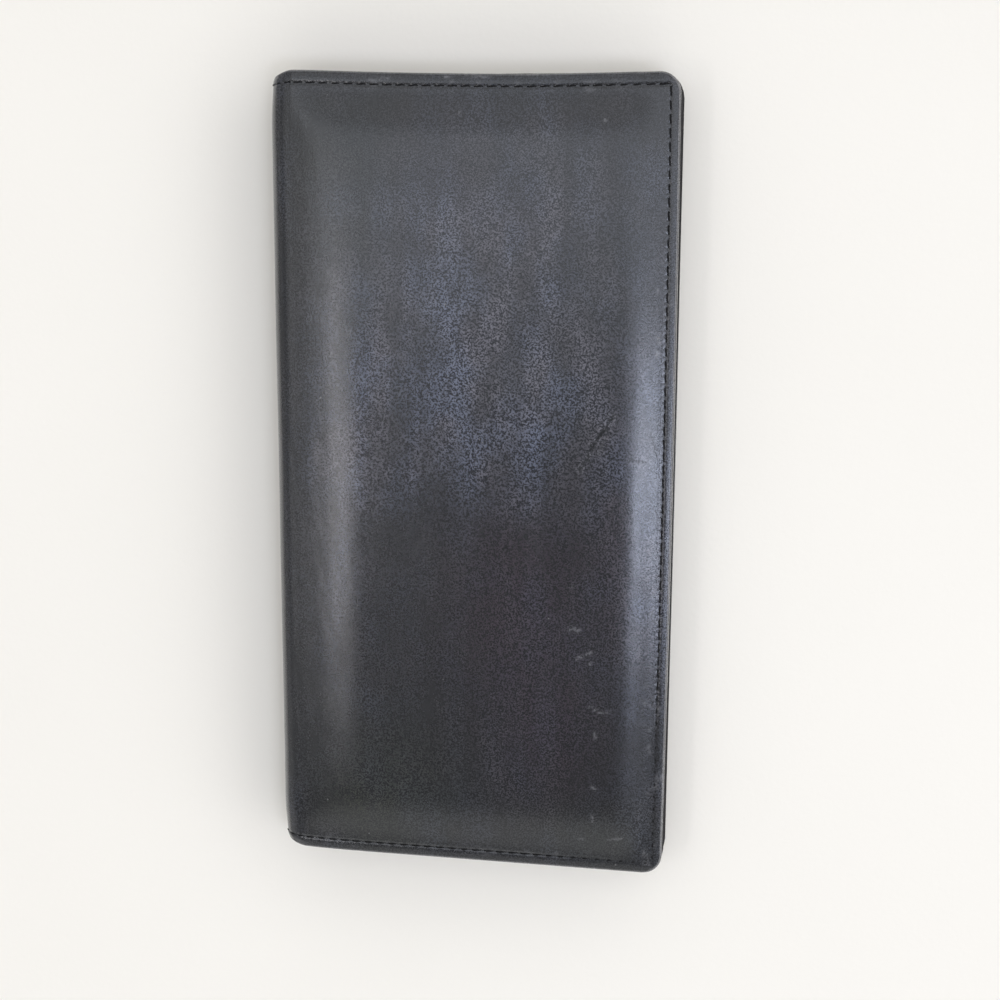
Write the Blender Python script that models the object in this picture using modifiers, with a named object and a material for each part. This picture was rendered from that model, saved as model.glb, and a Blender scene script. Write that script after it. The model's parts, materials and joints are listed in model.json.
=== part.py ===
"""Long bifold wallet: two padded leather halves on a rounded spine, with card slots inside.

The wallet lies closed on its back half. X runs from the spine to the open edge, Y along the
spine and Z up. Each half is a stack of layers, and a layer's level is its distance from the
mid plane, where the two halves face each other.
"""

import math

import bmesh
import bpy
from mathutils import Matrix, Vector

MM = 0.001

# Outline of the closed wallet
WIDTH = 95.0 * MM
HEIGHT = 186.0 * MM
CORNER_R = 5.5 * MM

# Layers, from the mid plane out
CLOSED_GAP = 0.8 * MM
SLOT_LEATHER = 0.4 * MM
SLOT_ROWS = 4
PANEL_LEATHER = 0.5 * MM
HEM_LEATHER = 0.4 * MM
LINING_CLOTH = 0.25 * MM
PADDING = 1.45 * MM
SPINE_PADDING = 0.55 * MM
COVER_LEATHER = 1.2 * MM

# Clearances between flat layers, over the curved padding, and across a crease
LAYER_GAP = 0.1 * MM
PADDING_GAP = 0.3 * MM
CREASE_GAP = 0.3 * MM

# Form of the covers: a flat stitched margin, then a slope up to the padded crown
RIM_MARGIN = 3.4 * MM
RIM_SLOPE = 9.0 * MM
FOLD_RISE = 13.0 * MM
SPINE_END_DIP = 0.65 * MM
SPINE_END_SLOPE = 3.0 * MM
PADDING_START = 0.4
PADDING_CORNER_R = 3.0 * MM
EDGE_ROUNDING = 0.35 * MM

# How far inner layers stay back from the edge of the cover
LINING_INSET = 1.0 * MM
PANEL_INSET = 0.4 * MM
HEM_WIDTH = 8.0 * MM

# Pockets: the panel starts clear of the spine, and the last slot takes most of a card
PANEL_CLEAR_OF_SPINE = 3.0 * MM
PANEL_SHOWING = 4.8 * MM
LAST_SLOT_DEPTH = 47.0 * MM
COLUMN_GAP = 3.0 * MM
SLOT_CORNER_R = 0.8 * MM

# Identity card window, on the third row
WINDOW_ROW = 3
WINDOW_BORDER = 8.0 * MM
WINDOW_CORNER_R = 3.0 * MM
WINDOW_FILM = 0.25 * MM
FILM_OVERLAP = 4.0 * MM

# Stitches
STITCH_INSET = 2.8 * MM
STITCH_PITCH = 3.0 * MM
THREAD_R = 0.2 * MM
THREAD_LIFT = 0.1 * MM
THREAD_WAVE = 0.1 * MM
THREAD_END = 0.4 * MM
THREAD_OVER_MOUTH = 0.3 * MM
THREAD_CLIMB = 0.8 * MM
DIVIDER_SEAM_OFFSET = 2.0 * MM

# Spine: three strips, each turning a third of the half round
SPINE_STRIPS = 3
SPINE_STITCHES = 2

# Levels worked out from the layers
SLOT_PITCH = SLOT_LEATHER + LAYER_GAP
PANEL_LEVEL = CLOSED_GAP / 2 + SLOT_ROWS * SLOT_PITCH
HEM_LEVEL = PANEL_LEVEL + PANEL_LEATHER + LAYER_GAP
LINING_LEVEL = HEM_LEVEL + HEM_LEATHER + LAYER_GAP
PADDING_LEVEL = LINING_LEVEL + LINING_CLOTH + LAYER_GAP
RIM_LEVEL = PADDING_LEVEL + COVER_LEATHER
SPINE_R = PADDING_LEVEL + SPINE_PADDING + PADDING_GAP + COVER_LEATHER
CROWN_LEVEL = PADDING_LEVEL + PADDING + PADDING_GAP + COVER_LEATHER
SPINE_END_R = SPINE_R - SPINE_END_DIP
MID_Z = CROWN_LEVEL

# Places worked out from the outline
X_EDGE = WIDTH / 2
Y_EDGE = HEIGHT / 2
FOLD_X = SPINE_R - WIDTH / 2
COVER_X = FOLD_X + CREASE_GAP / 2
SEAM_X = X_EDGE - STITCH_INSET
SEAM_Y = Y_EDGE - STITCH_INSET
PANEL_X = FOLD_X + PANEL_CLEAR_OF_SPINE
PADDING_INSET = RIM_MARGIN + PADDING_START * RIM_SLOPE
FIRST_MOUTH_X = PANEL_X + PANEL_SHOWING
LAST_MOUTH_X = SEAM_X - LAST_SLOT_DEPTH
SLOT_STEP = (LAST_MOUTH_X - FIRST_MOUTH_X) / (SLOT_ROWS - 1)
STRIP_ANGLE = math.pi / SPINE_STRIPS
CREASE_ANGLE = math.asin(CREASE_GAP / 2 / SPINE_R)

BACK = -1
FRONT = 1

# Colour and roughness of each material
COVER_BLACK = ((0.020, 0.021, 0.026), 0.40)
SLOT_BLACK = ((0.024, 0.024, 0.027), 0.50)
LINING_BLACK = ((0.030, 0.030, 0.034), 0.85)
PADDING_GREY = ((0.30, 0.30, 0.29), 0.90)
THREAD_BLACK = ((0.012, 0.012, 0.014), 0.65)
FILM_CLEAR = ((0.80, 0.82, 0.84), 0.12)


def clear_scene():
    for obj in list(bpy.data.objects):
        bpy.data.objects.remove(obj, do_unlink=True)


def new_collection(name):
    collection = bpy.data.collections.new(name)
    bpy.context.scene.collection.children.link(collection)
    return collection


def paint(obj, finish):
    """Gives a piece its own plain material."""
    colour, roughness = finish
    material = bpy.data.materials.new(obj.name + "_material")
    material.use_nodes = True
    shader = material.node_tree.nodes["Principled BSDF"]
    shader.inputs["Base Color"].default_value = (*colour, 1.0)
    shader.inputs["Roughness"].default_value = roughness
    shader.inputs["Metallic"].default_value = 0.0
    obj.data.materials.append(material)


def add_piece(obj, finish, hinge):
    """Links a piece to the wallet and hangs it on the empty that carries it."""
    wallet.objects.link(obj)
    paint(obj, finish)
    obj.parent = hinge
    obj.matrix_parent_inverse = Matrix.Translation(hinge["at"]).inverted()


def add_hinge(name, at, parent=None):
    """An empty on a hinge's axis, which carries the pieces that turn about it."""
    empty = bpy.data.objects.new(name, None)
    empty.empty_display_size = 5 * MM
    empty["at"] = at
    wallet.objects.link(empty)
    if parent:
        empty.parent = parent
        empty.location = Vector(at) - Vector(parent["at"])
    else:
        empty.location = at
    return empty


def mesh_piece(name, bm, finish, hinge):
    mesh = bpy.data.meshes.new(name)
    bm.to_mesh(mesh)
    bm.free()
    obj = bpy.data.objects.new(name, mesh)
    add_piece(obj, finish, hinge)
    return obj


def mix(a, b, share):
    return a + (b - a) * share


def smooth(share):
    """Eases from 0 to 1, and stays flat outside that range."""
    share = min(1.0, max(0.0, share))
    return share * share * (3 - 2 * share)


def spread(start, end, count):
    """Evenly spaced values after start, up to and including end."""
    return [mix(start, end, (i + 1) / count) for i in range(count)]


def rim_distance(x, y):
    """Distance from a point to the rim at the head, the tail and the open edge."""
    from_side = X_EDGE - x
    from_end = Y_EDGE - abs(y)
    if from_side < CORNER_R and from_end < CORNER_R:
        return CORNER_R - math.hypot(CORNER_R - from_side, CORNER_R - from_end)
    return min(from_side, from_end)


def cover_level(x, y):
    """Level of a cover's outer face: low at the stitched rim, round the spine, high on the crown."""
    away = smooth((x - FOLD_X) / FOLD_RISE)
    margin = mix(SPINE_END_R, RIM_LEVEL, away)
    crown = mix(SPINE_R, CROWN_LEVEL, away)
    slope = mix(SPINE_END_SLOPE, RIM_SLOPE, away)
    return mix(margin, crown, smooth((rim_distance(x, y) - RIM_MARGIN) / slope))


def rounded_sheet(x_lines, y_lines, corner_r):
    """A flat grid on these lines, whose two corners at the far X are rounded."""
    columns = len(x_lines) - 1
    rows = len(y_lines) - 1
    bm = bmesh.new()
    bmesh.ops.create_grid(bm, x_segments=columns, y_segments=rows, size=1)
    corner_x = x_lines[-1] - corner_r
    corner_y = y_lines[-1] - corner_r
    for vert in bm.verts:
        x = x_lines[round((vert.co.x + 1) / 2 * columns)]
        y = y_lines[round((vert.co.y + 1) / 2 * rows)]
        across = x - corner_x
        along = abs(y) - corner_y
        if across > 0 and along > 0:
            shrink = max(across, along) / math.hypot(across, along)
            x = corner_x + across * shrink
            y = math.copysign(corner_y + along * shrink, y)
        vert.co = (x, y, 0)
    return bm


def both_ways(lines):
    """Mirrors rising positive values, so that they run from the tail to the head."""
    return [-value for value in reversed(lines)] + lines


def cover_lines(inset, corner_r):
    """Grid lines of a cover or its padding, closer together where the surface bends."""
    crown_x = X_EDGE - RIM_MARGIN - RIM_SLOPE
    crown_y = Y_EDGE - RIM_MARGIN - RIM_SLOPE
    x_lines = [COVER_X]
    x_lines += spread(COVER_X, FOLD_X + FOLD_RISE, 5)
    x_lines += spread(FOLD_X + FOLD_RISE, crown_x, 2)
    x_lines += spread(crown_x, X_EDGE - inset - corner_r, 3)
    x_lines += spread(X_EDGE - inset - corner_r, X_EDGE - inset, 4)
    y_lines = spread(0, crown_y, 2)
    y_lines += spread(crown_y, Y_EDGE - inset - corner_r, 3)
    y_lines += spread(Y_EDGE - inset - corner_r, Y_EDGE - inset, 4)
    return x_lines, both_ways(y_lines)


def face_outwards(bm, side):
    if side == BACK:
        bmesh.ops.reverse_faces(bm, faces=bm.faces)


def thicken(obj, thickness):
    """Gives an open sheet its thickness on the inner side and rounds its edges."""
    shell = obj.modifiers.new("Thickness", "SOLIDIFY")
    shell.thickness = thickness
    shell.offset = -1
    shell.use_even_offset = True
    edge = obj.modifiers.new("Rounded edge", "BEVEL")
    edge.width = EDGE_ROUNDING
    edge.segments = 2
    edge.limit_method = "ANGLE"
    edge.angle_limit = math.radians(60)
    obj.data.shade_smooth()
    obj.data.set_sharp_from_angle(angle=math.radians(40))


def make_cover(name, side, hinge):
    """The crowned outer leather of one half."""
    bm = rounded_sheet(*cover_lines(0, CORNER_R), CORNER_R)
    for vert in bm.verts:
        vert.co.z = MID_Z + side * cover_level(vert.co.x, vert.co.y)
    face_outwards(bm, side)
    thicken(mesh_piece(name, bm, COVER_BLACK, hinge), COVER_LEATHER)


def make_padding(name, side, hinge):
    """The pad that lifts the cover's middle: crowned outside, flat on the lining."""
    bm = rounded_sheet(*cover_lines(PADDING_INSET, PADDING_CORNER_R), PADDING_CORNER_R)
    for vert in bm.verts:
        level = cover_level(vert.co.x, vert.co.y) - COVER_LEATHER - PADDING_GAP
        vert.co.z = MID_Z + side * level
    walls = bmesh.ops.extrude_face_region(bm, geom=bm.faces[:])
    for item in walls["geom"]:
        if isinstance(item, bmesh.types.BMVert):
            item.co.z = MID_Z + side * PADDING_LEVEL
    bmesh.ops.recalc_face_normals(bm, faces=bm.faces)
    obj = mesh_piece(name, bm, PADDING_GREY, hinge)
    obj.data.shade_smooth()
    obj.data.set_sharp_from_angle(angle=math.radians(40))


def arc_points(centre_x, centre_y, radius, start, turn, steps=5):
    """Points of an arc, from an angle in degrees and through a turn."""
    angles = [math.radians(start + turn * i / steps) for i in range(steps + 1)]
    return [
        (centre_x + radius * math.cos(a), centre_y + radius * math.sin(a)) for a in angles
    ]


def rounded_rectangle(x_low, x_high, y_low, y_high, corners):
    """Outline run anticlockwise, with the radii of the corners in that order from low X, low Y."""
    places = (
        (x_low, y_low, 1, 1, 180),
        (x_high, y_low, -1, 1, 270),
        (x_high, y_high, -1, -1, 0),
        (x_low, y_high, 1, -1, 90),
    )
    points = []
    for (x, y, to_x, to_y, start), radius in zip(places, corners):
        points += arc_points(x + to_x * radius, y + to_y * radius, radius, start, 90)
    return points


def hem_outline():
    """The turned hem: a U along the tail, the open edge and the head."""
    outer_r = CORNER_R - PANEL_INSET
    x_out = X_EDGE - PANEL_INSET
    y_out = Y_EDGE - PANEL_INSET
    x_in = x_out - HEM_WIDTH
    y_in = y_out - HEM_WIDTH
    points = [(PANEL_X, -y_out)]
    points += arc_points(x_out - outer_r, outer_r - y_out, outer_r, 270, 90)
    points += arc_points(x_out - outer_r, y_out - outer_r, outer_r, 0, 90)
    points += [(PANEL_X, y_out), (PANEL_X, y_in)]
    points += arc_points(x_in - SLOT_CORNER_R, y_in - SLOT_CORNER_R, SLOT_CORNER_R, 90, -90)
    points += arc_points(x_in - SLOT_CORNER_R, SLOT_CORNER_R - y_in, SLOT_CORNER_R, 0, -90)
    points += [(PANEL_X, -y_in)]
    return points


def plate_z(side, level, thickness):
    """Height of the middle of a flat layer whose inner face is at this level."""
    return MID_Z + side * (level + thickness / 2)


def make_plate(name, outlines, side, level, thickness, finish, hinge):
    """A flat layer cut to one or more outlines, its inner face at a level."""
    curve = bpy.data.curves.new(name, "CURVE")
    curve.dimensions = "2D"
    curve.fill_mode = "BOTH"
    curve.extrude = thickness / 2
    for outline in outlines:
        spline = curve.splines.new("POLY")
        spline.points.add(len(outline) - 1)
        for point, (x, y) in zip(spline.points, outline):
            point.co = (x, y, 0, 1)
        spline.use_cyclic_u = True
    obj = bpy.data.objects.new(name, curve)
    obj.location.z = plate_z(side, level, thickness)
    add_piece(obj, finish, hinge)


def slot_level(row):
    """Inner face of a slot, counted from the one sewn on the pocket panel."""
    return PANEL_LEVEL - row * SLOT_PITCH


def mouth_x(row):
    return FIRST_MOUTH_X + (row - 1) * SLOT_STEP


def pocket_outline(x_mouth, y_low, y_high, inset=PANEL_INSET):
    """A pocket piece from its mouth to the open edge, rounded where it meets the outer corners."""
    outer_r = CORNER_R - inset
    corners = [SLOT_CORNER_R] * 4
    if y_low <= inset - Y_EDGE:
        corners[1] = outer_r
    if y_high >= Y_EDGE - inset:
        corners[2] = outer_r
    return rounded_rectangle(x_mouth, X_EDGE - inset, y_low, y_high, corners)


def make_thread(name, points, hinge):
    """One unbroken thread through these points."""
    curve = bpy.data.curves.new(name, "CURVE")
    curve.dimensions = "3D"
    curve.bevel_depth = THREAD_R
    curve.bevel_resolution = 0
    curve.use_fill_caps = True
    spline = curve.splines.new("POLY")
    spline.points.add(len(points) - 1)
    for point, at in zip(spline.points, points):
        point.co = (*at, 1)
    add_piece(bpy.data.objects.new(name, curve), THREAD_BLACK, hinge)


def thread_height(raised):
    """Height of the thread's middle over the leather: low at a needle hole, raised between two."""
    return THREAD_LIFT + THREAD_R + (THREAD_WAVE if raised else 0)


def make_rim_thread(name, side, hinge):
    """The seam round the head, the open edge and the tail of one cover."""
    corners = [
        Vector((COVER_X + THREAD_END, SEAM_Y)),
        Vector((SEAM_X, SEAM_Y)),
        Vector((SEAM_X, -SEAM_Y)),
        Vector((COVER_X + THREAD_END, -SEAM_Y)),
    ]
    plan = []
    for start, end in zip(corners, corners[1:]):
        steps = 2 * round((end - start).length / STITCH_PITCH)
        plan += [(start.lerp(end, i / steps), i % 2 == 1) for i in range(steps)]
    plan.append((corners[-1], False))
    points = [
        (at.x, at.y, MID_Z + side * (cover_level(at.x, at.y) + thread_height(raised)))
        for at, raised in plan
    ]
    make_thread(name, points, hinge)


def make_divider_thread(name, side, runs, y, hinge):
    """A seam across the pockets. It climbs over each mouth from one row to the next."""
    points = []
    for row, x_low, x_high in runs:
        steps = 2 * max(1, round((x_high - x_low) / STITCH_PITCH)) - 1
        for i in range(steps + 1):
            level = slot_level(row) - thread_height(i % 2 == 0)
            points.append((mix(x_low, x_high, i / steps), y, MID_Z + side * level))
    make_thread(name, points, hinge)


def divider_runs(rows):
    """The stretch of a divider seam on each of these rows."""
    runs = []
    for row in rows:
        x_low = mouth_x(row) + (THREAD_END if row == rows[0] else -THREAD_OVER_MOUTH)
        x_high = SEAM_X if row == rows[-1] else mouth_x(row + 1) - THREAD_CLIMB
        runs.append((row, x_low, x_high))
    return runs


def spine_point(angle, y, radius):
    """A point round the spine, from the back half at angle 0 to the front half at a half turn."""
    return Vector((FOLD_X - radius * math.sin(angle), y, MID_Z - radius * math.cos(angle)))


def make_strip(name, number, radius_at, y_lines, thickness, finish, hinge):
    """One strip of a layer that bends round the spine."""
    low = (number - 1) * STRIP_ANGLE + CREASE_ANGLE
    high = number * STRIP_ANGLE - CREASE_ANGLE
    columns = 6
    rows = len(y_lines) - 1
    bm = bmesh.new()
    bmesh.ops.create_grid(bm, x_segments=columns, y_segments=rows, size=1)
    for vert in bm.verts:
        angle = mix(low, high, (vert.co.x + 1) / 2)
        y = y_lines[round((vert.co.y + 1) / 2 * rows)]
        vert.co = spine_point(angle, y, radius_at(y))
    obj = mesh_piece(name, bm, finish, hinge)
    shell = obj.modifiers.new("Thickness", "SOLIDIFY")
    shell.thickness = thickness
    shell.offset = -1
    obj.data.shade_smooth()
    obj.data.set_sharp_from_angle(angle=math.radians(40))


def make_spine_thread(name, number, y, hinge):
    """The seam of one strip at the head or the tail."""
    radius = cover_level(FOLD_X, y)
    end_angle = (CREASE_GAP / 2 + THREAD_END) / SPINE_R
    low = (number - 1) * STRIP_ANGLE + end_angle
    high = number * STRIP_ANGLE - end_angle
    steps = 2 * SPINE_STITCHES
    points = [
        spine_point(mix(low, high, i / steps), y, radius + thread_height(i % 2 == 1))
        for i in range(steps + 1)
    ]
    make_thread(name, points, hinge)


def make_spine_strip(number, hinge):
    leather_lines = spread(0, Y_EDGE - RIM_MARGIN - SPINE_END_SLOPE, 1)
    leather_lines += spread(leather_lines[-1], Y_EDGE - RIM_MARGIN, 3)
    leather_lines += [Y_EDGE]
    padding_end = Y_EDGE - RIM_MARGIN - SPINE_END_SLOPE
    lining_end = Y_EDGE - LINING_INSET
    make_strip(
        f"spine_leather_{number}",
        number,
        lambda y: cover_level(FOLD_X, y),
        both_ways(leather_lines),
        COVER_LEATHER,
        COVER_BLACK,
        hinge,
    )
    make_strip(
        f"spine_padding_{number}",
        number,
        lambda y: PADDING_LEVEL + SPINE_PADDING,
        [-padding_end, padding_end],
        SPINE_PADDING,
        PADDING_GREY,
        hinge,
    )
    make_strip(
        f"spine_lining_{number}",
        number,
        lambda y: LINING_LEVEL + LINING_CLOTH,
        [-lining_end, lining_end],
        LINING_CLOTH,
        LINING_BLACK,
        hinge,
    )
    make_spine_thread(f"spine_head_thread_{number}", number, SEAM_Y, hinge)
    make_spine_thread(f"spine_tail_thread_{number}", number, -SEAM_Y, hinge)


def make_half(name, side, hinge):
    """The layers that both halves share."""
    make_cover(f"{name}_cover", side, hinge)
    make_padding(f"{name}_padding", side, hinge)
    lining = pocket_outline(COVER_X, LINING_INSET - Y_EDGE, Y_EDGE - LINING_INSET, LINING_INSET)
    make_plate(
        f"{name}_lining", [lining], side, LINING_LEVEL, LINING_CLOTH, LINING_BLACK, hinge
    )
    make_plate(f"{name}_hem", [hem_outline()], side, HEM_LEVEL, HEM_LEATHER, COVER_BLACK, hinge)
    panel = pocket_outline(PANEL_X, PANEL_INSET - Y_EDGE, Y_EDGE - PANEL_INSET)
    make_plate(
        f"{name}_pocket_panel", [panel], side, PANEL_LEVEL, PANEL_LEATHER, SLOT_BLACK, hinge
    )
    make_rim_thread(f"{name}_rim_thread", side, hinge)


def make_slot(name, row, y_low, y_high, side, hinge):
    outline = pocket_outline(mouth_x(row), y_low, y_high)
    make_plate(name, [outline], side, slot_level(row), SLOT_LEATHER, SLOT_BLACK, hinge)


def make_back_pockets(hinge):
    """Full length slots, which the middle seam divides into two columns."""
    y_end = Y_EDGE - PANEL_INSET
    for row in range(1, SLOT_ROWS + 1):
        make_slot(f"back_card_slot_{row}", row, -y_end, y_end, BACK, hinge)
    runs = divider_runs(range(1, SLOT_ROWS + 1))
    make_divider_thread("back_divider_thread", BACK, runs, 0, hinge)


def make_front_pockets(hinge):
    """A full length slip pocket, which carries card slots at the head and a window at the tail."""
    y_end = Y_EDGE - PANEL_INSET
    y_column = COLUMN_GAP / 2
    make_slot("front_slip_pocket", 1, -y_end, y_end, FRONT, hinge)
    for row in range(2, SLOT_ROWS + 1):
        make_slot(f"front_card_slot_{row - 1}", row, y_column, y_end, FRONT, hinge)

    frame = pocket_outline(mouth_x(2), -y_end, -y_column)
    window = (
        mouth_x(2) + WINDOW_BORDER,
        SEAM_X - WINDOW_BORDER,
        WINDOW_BORDER - SEAM_Y,
        -y_column - WINDOW_BORDER,
    )
    hole = rounded_rectangle(*window, [WINDOW_CORNER_R] * 4)
    make_plate(
        "window_frame", [frame, hole], FRONT, slot_level(WINDOW_ROW), SLOT_LEATHER, SLOT_BLACK, hinge
    )
    film = rounded_rectangle(
        window[0] - FILM_OVERLAP,
        window[1] + FILM_OVERLAP,
        window[2] - FILM_OVERLAP,
        window[3] + FILM_OVERLAP,
        [SLOT_CORNER_R] * 4,
    )
    film_level = slot_level(WINDOW_ROW) + SLOT_LEATHER + LAYER_GAP
    make_plate("window_film", [film], FRONT, film_level, WINDOW_FILM, FILM_CLEAR, hinge)

    y_seam = y_column + DIVIDER_SEAM_OFFSET
    head_runs = divider_runs(range(2, SLOT_ROWS + 1))
    make_divider_thread("head_column_thread", FRONT, head_runs, y_seam, hinge)
    tail_runs = [(WINDOW_ROW, mouth_x(2) + THREAD_END, SEAM_X)]
    make_divider_thread("tail_column_thread", FRONT, tail_runs, -y_seam, hinge)


clear_scene()
wallet = new_collection("long_bifold_wallet")

base = add_hinge("back_half", (0, 0, 0))
make_half("back", BACK, base)
make_back_pockets(base)

carrier = base
for strip in range(1, SPINE_STRIPS + 1):
    at = spine_point((strip - 1) * STRIP_ANGLE, 0, SPINE_R)
    carrier = add_hinge(f"spine_hinge_{strip}", at, carrier)
    make_spine_strip(strip, carrier)

carrier = add_hinge(f"spine_hinge_{SPINE_STRIPS + 1}", spine_point(math.pi, 0, SPINE_R), carrier)
make_half("front", FRONT, carrier)
make_front_pockets(carrier)
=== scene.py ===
"""Looks of the long bifold wallet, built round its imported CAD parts.

The outer leather, the lining and the outer stitches are worked out on the wallet's unrolled
plan. There S runs from the open edge of the back half round the spine, where it is 0, to the
open edge of the front half, and Y runs from the tail to the head. A level is a distance from
the mid plane between the two closed halves, or from the middle of the spine. Lengths here are
in millimetres, and become metres when a mesh is made.
"""

import json
import math

import bmesh
import bpy
import numpy as np
from mathutils import Matrix, Vector


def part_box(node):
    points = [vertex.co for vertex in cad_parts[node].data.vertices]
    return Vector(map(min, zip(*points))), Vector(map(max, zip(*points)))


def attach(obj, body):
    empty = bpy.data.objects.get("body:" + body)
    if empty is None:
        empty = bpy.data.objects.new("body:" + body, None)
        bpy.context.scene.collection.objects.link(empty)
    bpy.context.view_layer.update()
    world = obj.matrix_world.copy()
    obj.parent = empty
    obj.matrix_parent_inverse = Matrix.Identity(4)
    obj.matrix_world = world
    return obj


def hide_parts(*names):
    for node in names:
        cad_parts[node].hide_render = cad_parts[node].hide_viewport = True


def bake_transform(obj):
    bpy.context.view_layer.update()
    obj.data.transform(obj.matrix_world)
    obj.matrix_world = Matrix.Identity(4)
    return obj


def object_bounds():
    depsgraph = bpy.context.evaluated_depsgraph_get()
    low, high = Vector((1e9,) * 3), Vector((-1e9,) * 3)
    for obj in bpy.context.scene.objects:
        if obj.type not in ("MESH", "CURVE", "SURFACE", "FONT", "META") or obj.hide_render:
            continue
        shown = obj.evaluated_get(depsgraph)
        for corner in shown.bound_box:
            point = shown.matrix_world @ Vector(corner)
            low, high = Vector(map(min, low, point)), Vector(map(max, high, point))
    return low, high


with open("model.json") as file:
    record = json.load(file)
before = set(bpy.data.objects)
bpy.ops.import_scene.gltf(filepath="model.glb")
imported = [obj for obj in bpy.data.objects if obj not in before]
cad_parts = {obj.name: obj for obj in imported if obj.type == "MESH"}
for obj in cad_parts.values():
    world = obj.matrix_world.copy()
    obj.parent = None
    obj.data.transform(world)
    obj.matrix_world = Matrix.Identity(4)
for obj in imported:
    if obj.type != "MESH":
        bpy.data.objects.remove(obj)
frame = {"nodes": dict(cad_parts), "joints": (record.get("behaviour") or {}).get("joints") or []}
CAD_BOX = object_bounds()
MM = 0.001
BACK = -1
FRONT = 1

# The wallet's own places, read from the frame
X_EDGE = CAD_BOX[1].x / MM
Y_EDGE = CAD_BOX[1].y / MM
MID_Z = CAD_BOX[1].z / MM / 2
SPINE_JOINTS = [Vector(joint["pos_m"]) / MM for joint in frame["joints"]]
FOLD_X = SPINE_JOINTS[0].x
SPINE_R = MID_Z - SPINE_JOINTS[0].z
CROWN_LEVEL = MID_Z


def box_mm(node):
    """Lowest and highest corner of a CAD node."""
    low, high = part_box(node)
    return low / MM, high / MM


def levels_of(node):
    """Level of a flat layer's inner face, and of its outer face."""
    low, high = box_mm(node)
    return sorted((abs(low.z - MID_Z), abs(high.z - MID_Z)))


PADDING_LEVEL = box_mm("front_cover")[0].z - MID_Z

# Form of the cover: as in the CAD, but for the measured corners and the spine's thinner leather
CORNER_R = 4.7
COVER_LEATHER = 1.2
SPINE_LEATHER = 0.8
RIM_LEVEL = PADDING_LEVEL + COVER_LEATHER
SIDE_SLOPE = 13.5
END_SLOPE = 19.0
SLOPE_LEAN = 1.8
FOLD_DIP = 0.95
FOLD_RISE = 16.5
SPINE_END_DIP = 0.45
SPINE_END_SLOPE = 12.0
MARGIN_ROLL = 0.32

# The unrolled plan
ARC = SPINE_R * math.pi / 2
S_EDGE = ARC + X_EDGE - FOLD_X
STRIP = ARC * 2 / 3

# Seam round the cover
SIDE_INSET = 2.2
END_INSET = 2.8
S_SEAM = S_EDGE - SIDE_INSET
X_SEAM = X_EDGE - SIDE_INSET
Y_SEAM = Y_EDGE - END_INSET
END_STITCHES = 29
ARC_STITCHES = 3
SIDE_STITCHES = 30
END_PITCH = (S_SEAM - ARC) / END_STITCHES
ARC_PITCH = ARC / ARC_STITCHES
SIDE_PITCH = Y_SEAM / SIDE_STITCHES
BRIDGE = 0.84
STITCH_STEPS = (0, 0.14, 0.28, 0.5, 0.72, 0.86)
ARC_STEPS = 9

# Rounded outer edge of the cover, and how deep its turned wall reaches
EDGE_R = 0.8
WALL_END_LEVEL = 3.1
WALL_BEVEL = 0.06
HEM_CLEARANCE = 0.38

# How the real cover departs from a true shape
HEAD_BOW = 0.60
BOW_X = 4
BOW_REACH = 46
HEAD_WAVE = 0.06
HEAD_LEAN = 0.90
LEAN_X = 12
LEAN_REACH = 50
HEAD_SPINE_DIP = 0.5
HEAD_MARGIN_DIP = 0.9
TAIL_DROP = 0.45
TAIL_SPINE_DIP = 0.3
TAIL_MARGIN_DIP = 0.9
SPINE_END_ROLL = 0.6
ROLL_FROM = 0.7
ROLL_FADE = 0.8
OPEN_EDGE_IN = 0.30
OPEN_EDGE_BOW = 0.40
OPEN_EDGE_FROM = 12
OPEN_EDGE_REACH = 34
SETTLE_FROM = 55
SETTLE_REACH = 38


def smooth(share):
    """Eases from 0 to 1, and stays flat outside that range."""
    share = np.clip(share, 0, 1)
    return share * share * (3 - 2 * share)


def mix(a, b, share):
    return a + (b - a) * share


def swell(distance, reach):
    """Rises like padding from 0 to 1: steepest near its foot, slower towards its top."""
    return smooth(1 - (1 - np.clip(distance / reach, 0, 1)) ** SLOPE_LEAN)


def bump(distance, width):
    """A soft bell of height 1."""
    return np.exp(-((distance / width) ** 2))


def noise(u, v, u_size, v_size, seed):
    """Smooth random values from -1 to 1, with features of these lengths along U and V."""
    cells = 128
    lattice = np.random.default_rng(seed).uniform(-1, 1, (cells, cells))
    x = np.asarray(u, float) / u_size + cells / 2
    y = np.asarray(v, float) / v_size + cells / 2
    left = np.floor(x).astype(int)
    low = np.floor(y).astype(int)
    across = smooth(x - left)
    along = smooth(y - low)

    def corner(i, j):
        return lattice[(left + i) % cells, (low + j) % cells]

    near = mix(corner(0, 0), corner(1, 0), across)
    far = mix(corner(0, 1), corner(1, 1), across)
    return mix(near, far, along)


def cloud(u, v, size, seed):
    """Two layers of noise, with features of this length and of half of it."""
    return (2 * noise(u, v, size, size, seed) + noise(u, v, size / 2, size / 2, seed + 1)) / 3


# Places on the unrolled plan


def away_from_fold(s):
    return np.maximum(np.abs(s) - ARC, 0)


def rim_distance(s, y):
    """Distance to the rim at the head, the tail and the open edges."""
    from_side = S_EDGE - np.abs(s)
    from_end = Y_EDGE - np.abs(y)
    in_corner = (from_side < CORNER_R) & (from_end < CORNER_R)
    rounded = CORNER_R - np.hypot(CORNER_R - from_side, CORNER_R - from_end)
    return np.where(in_corner, rounded, np.minimum(from_side, from_end))


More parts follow.
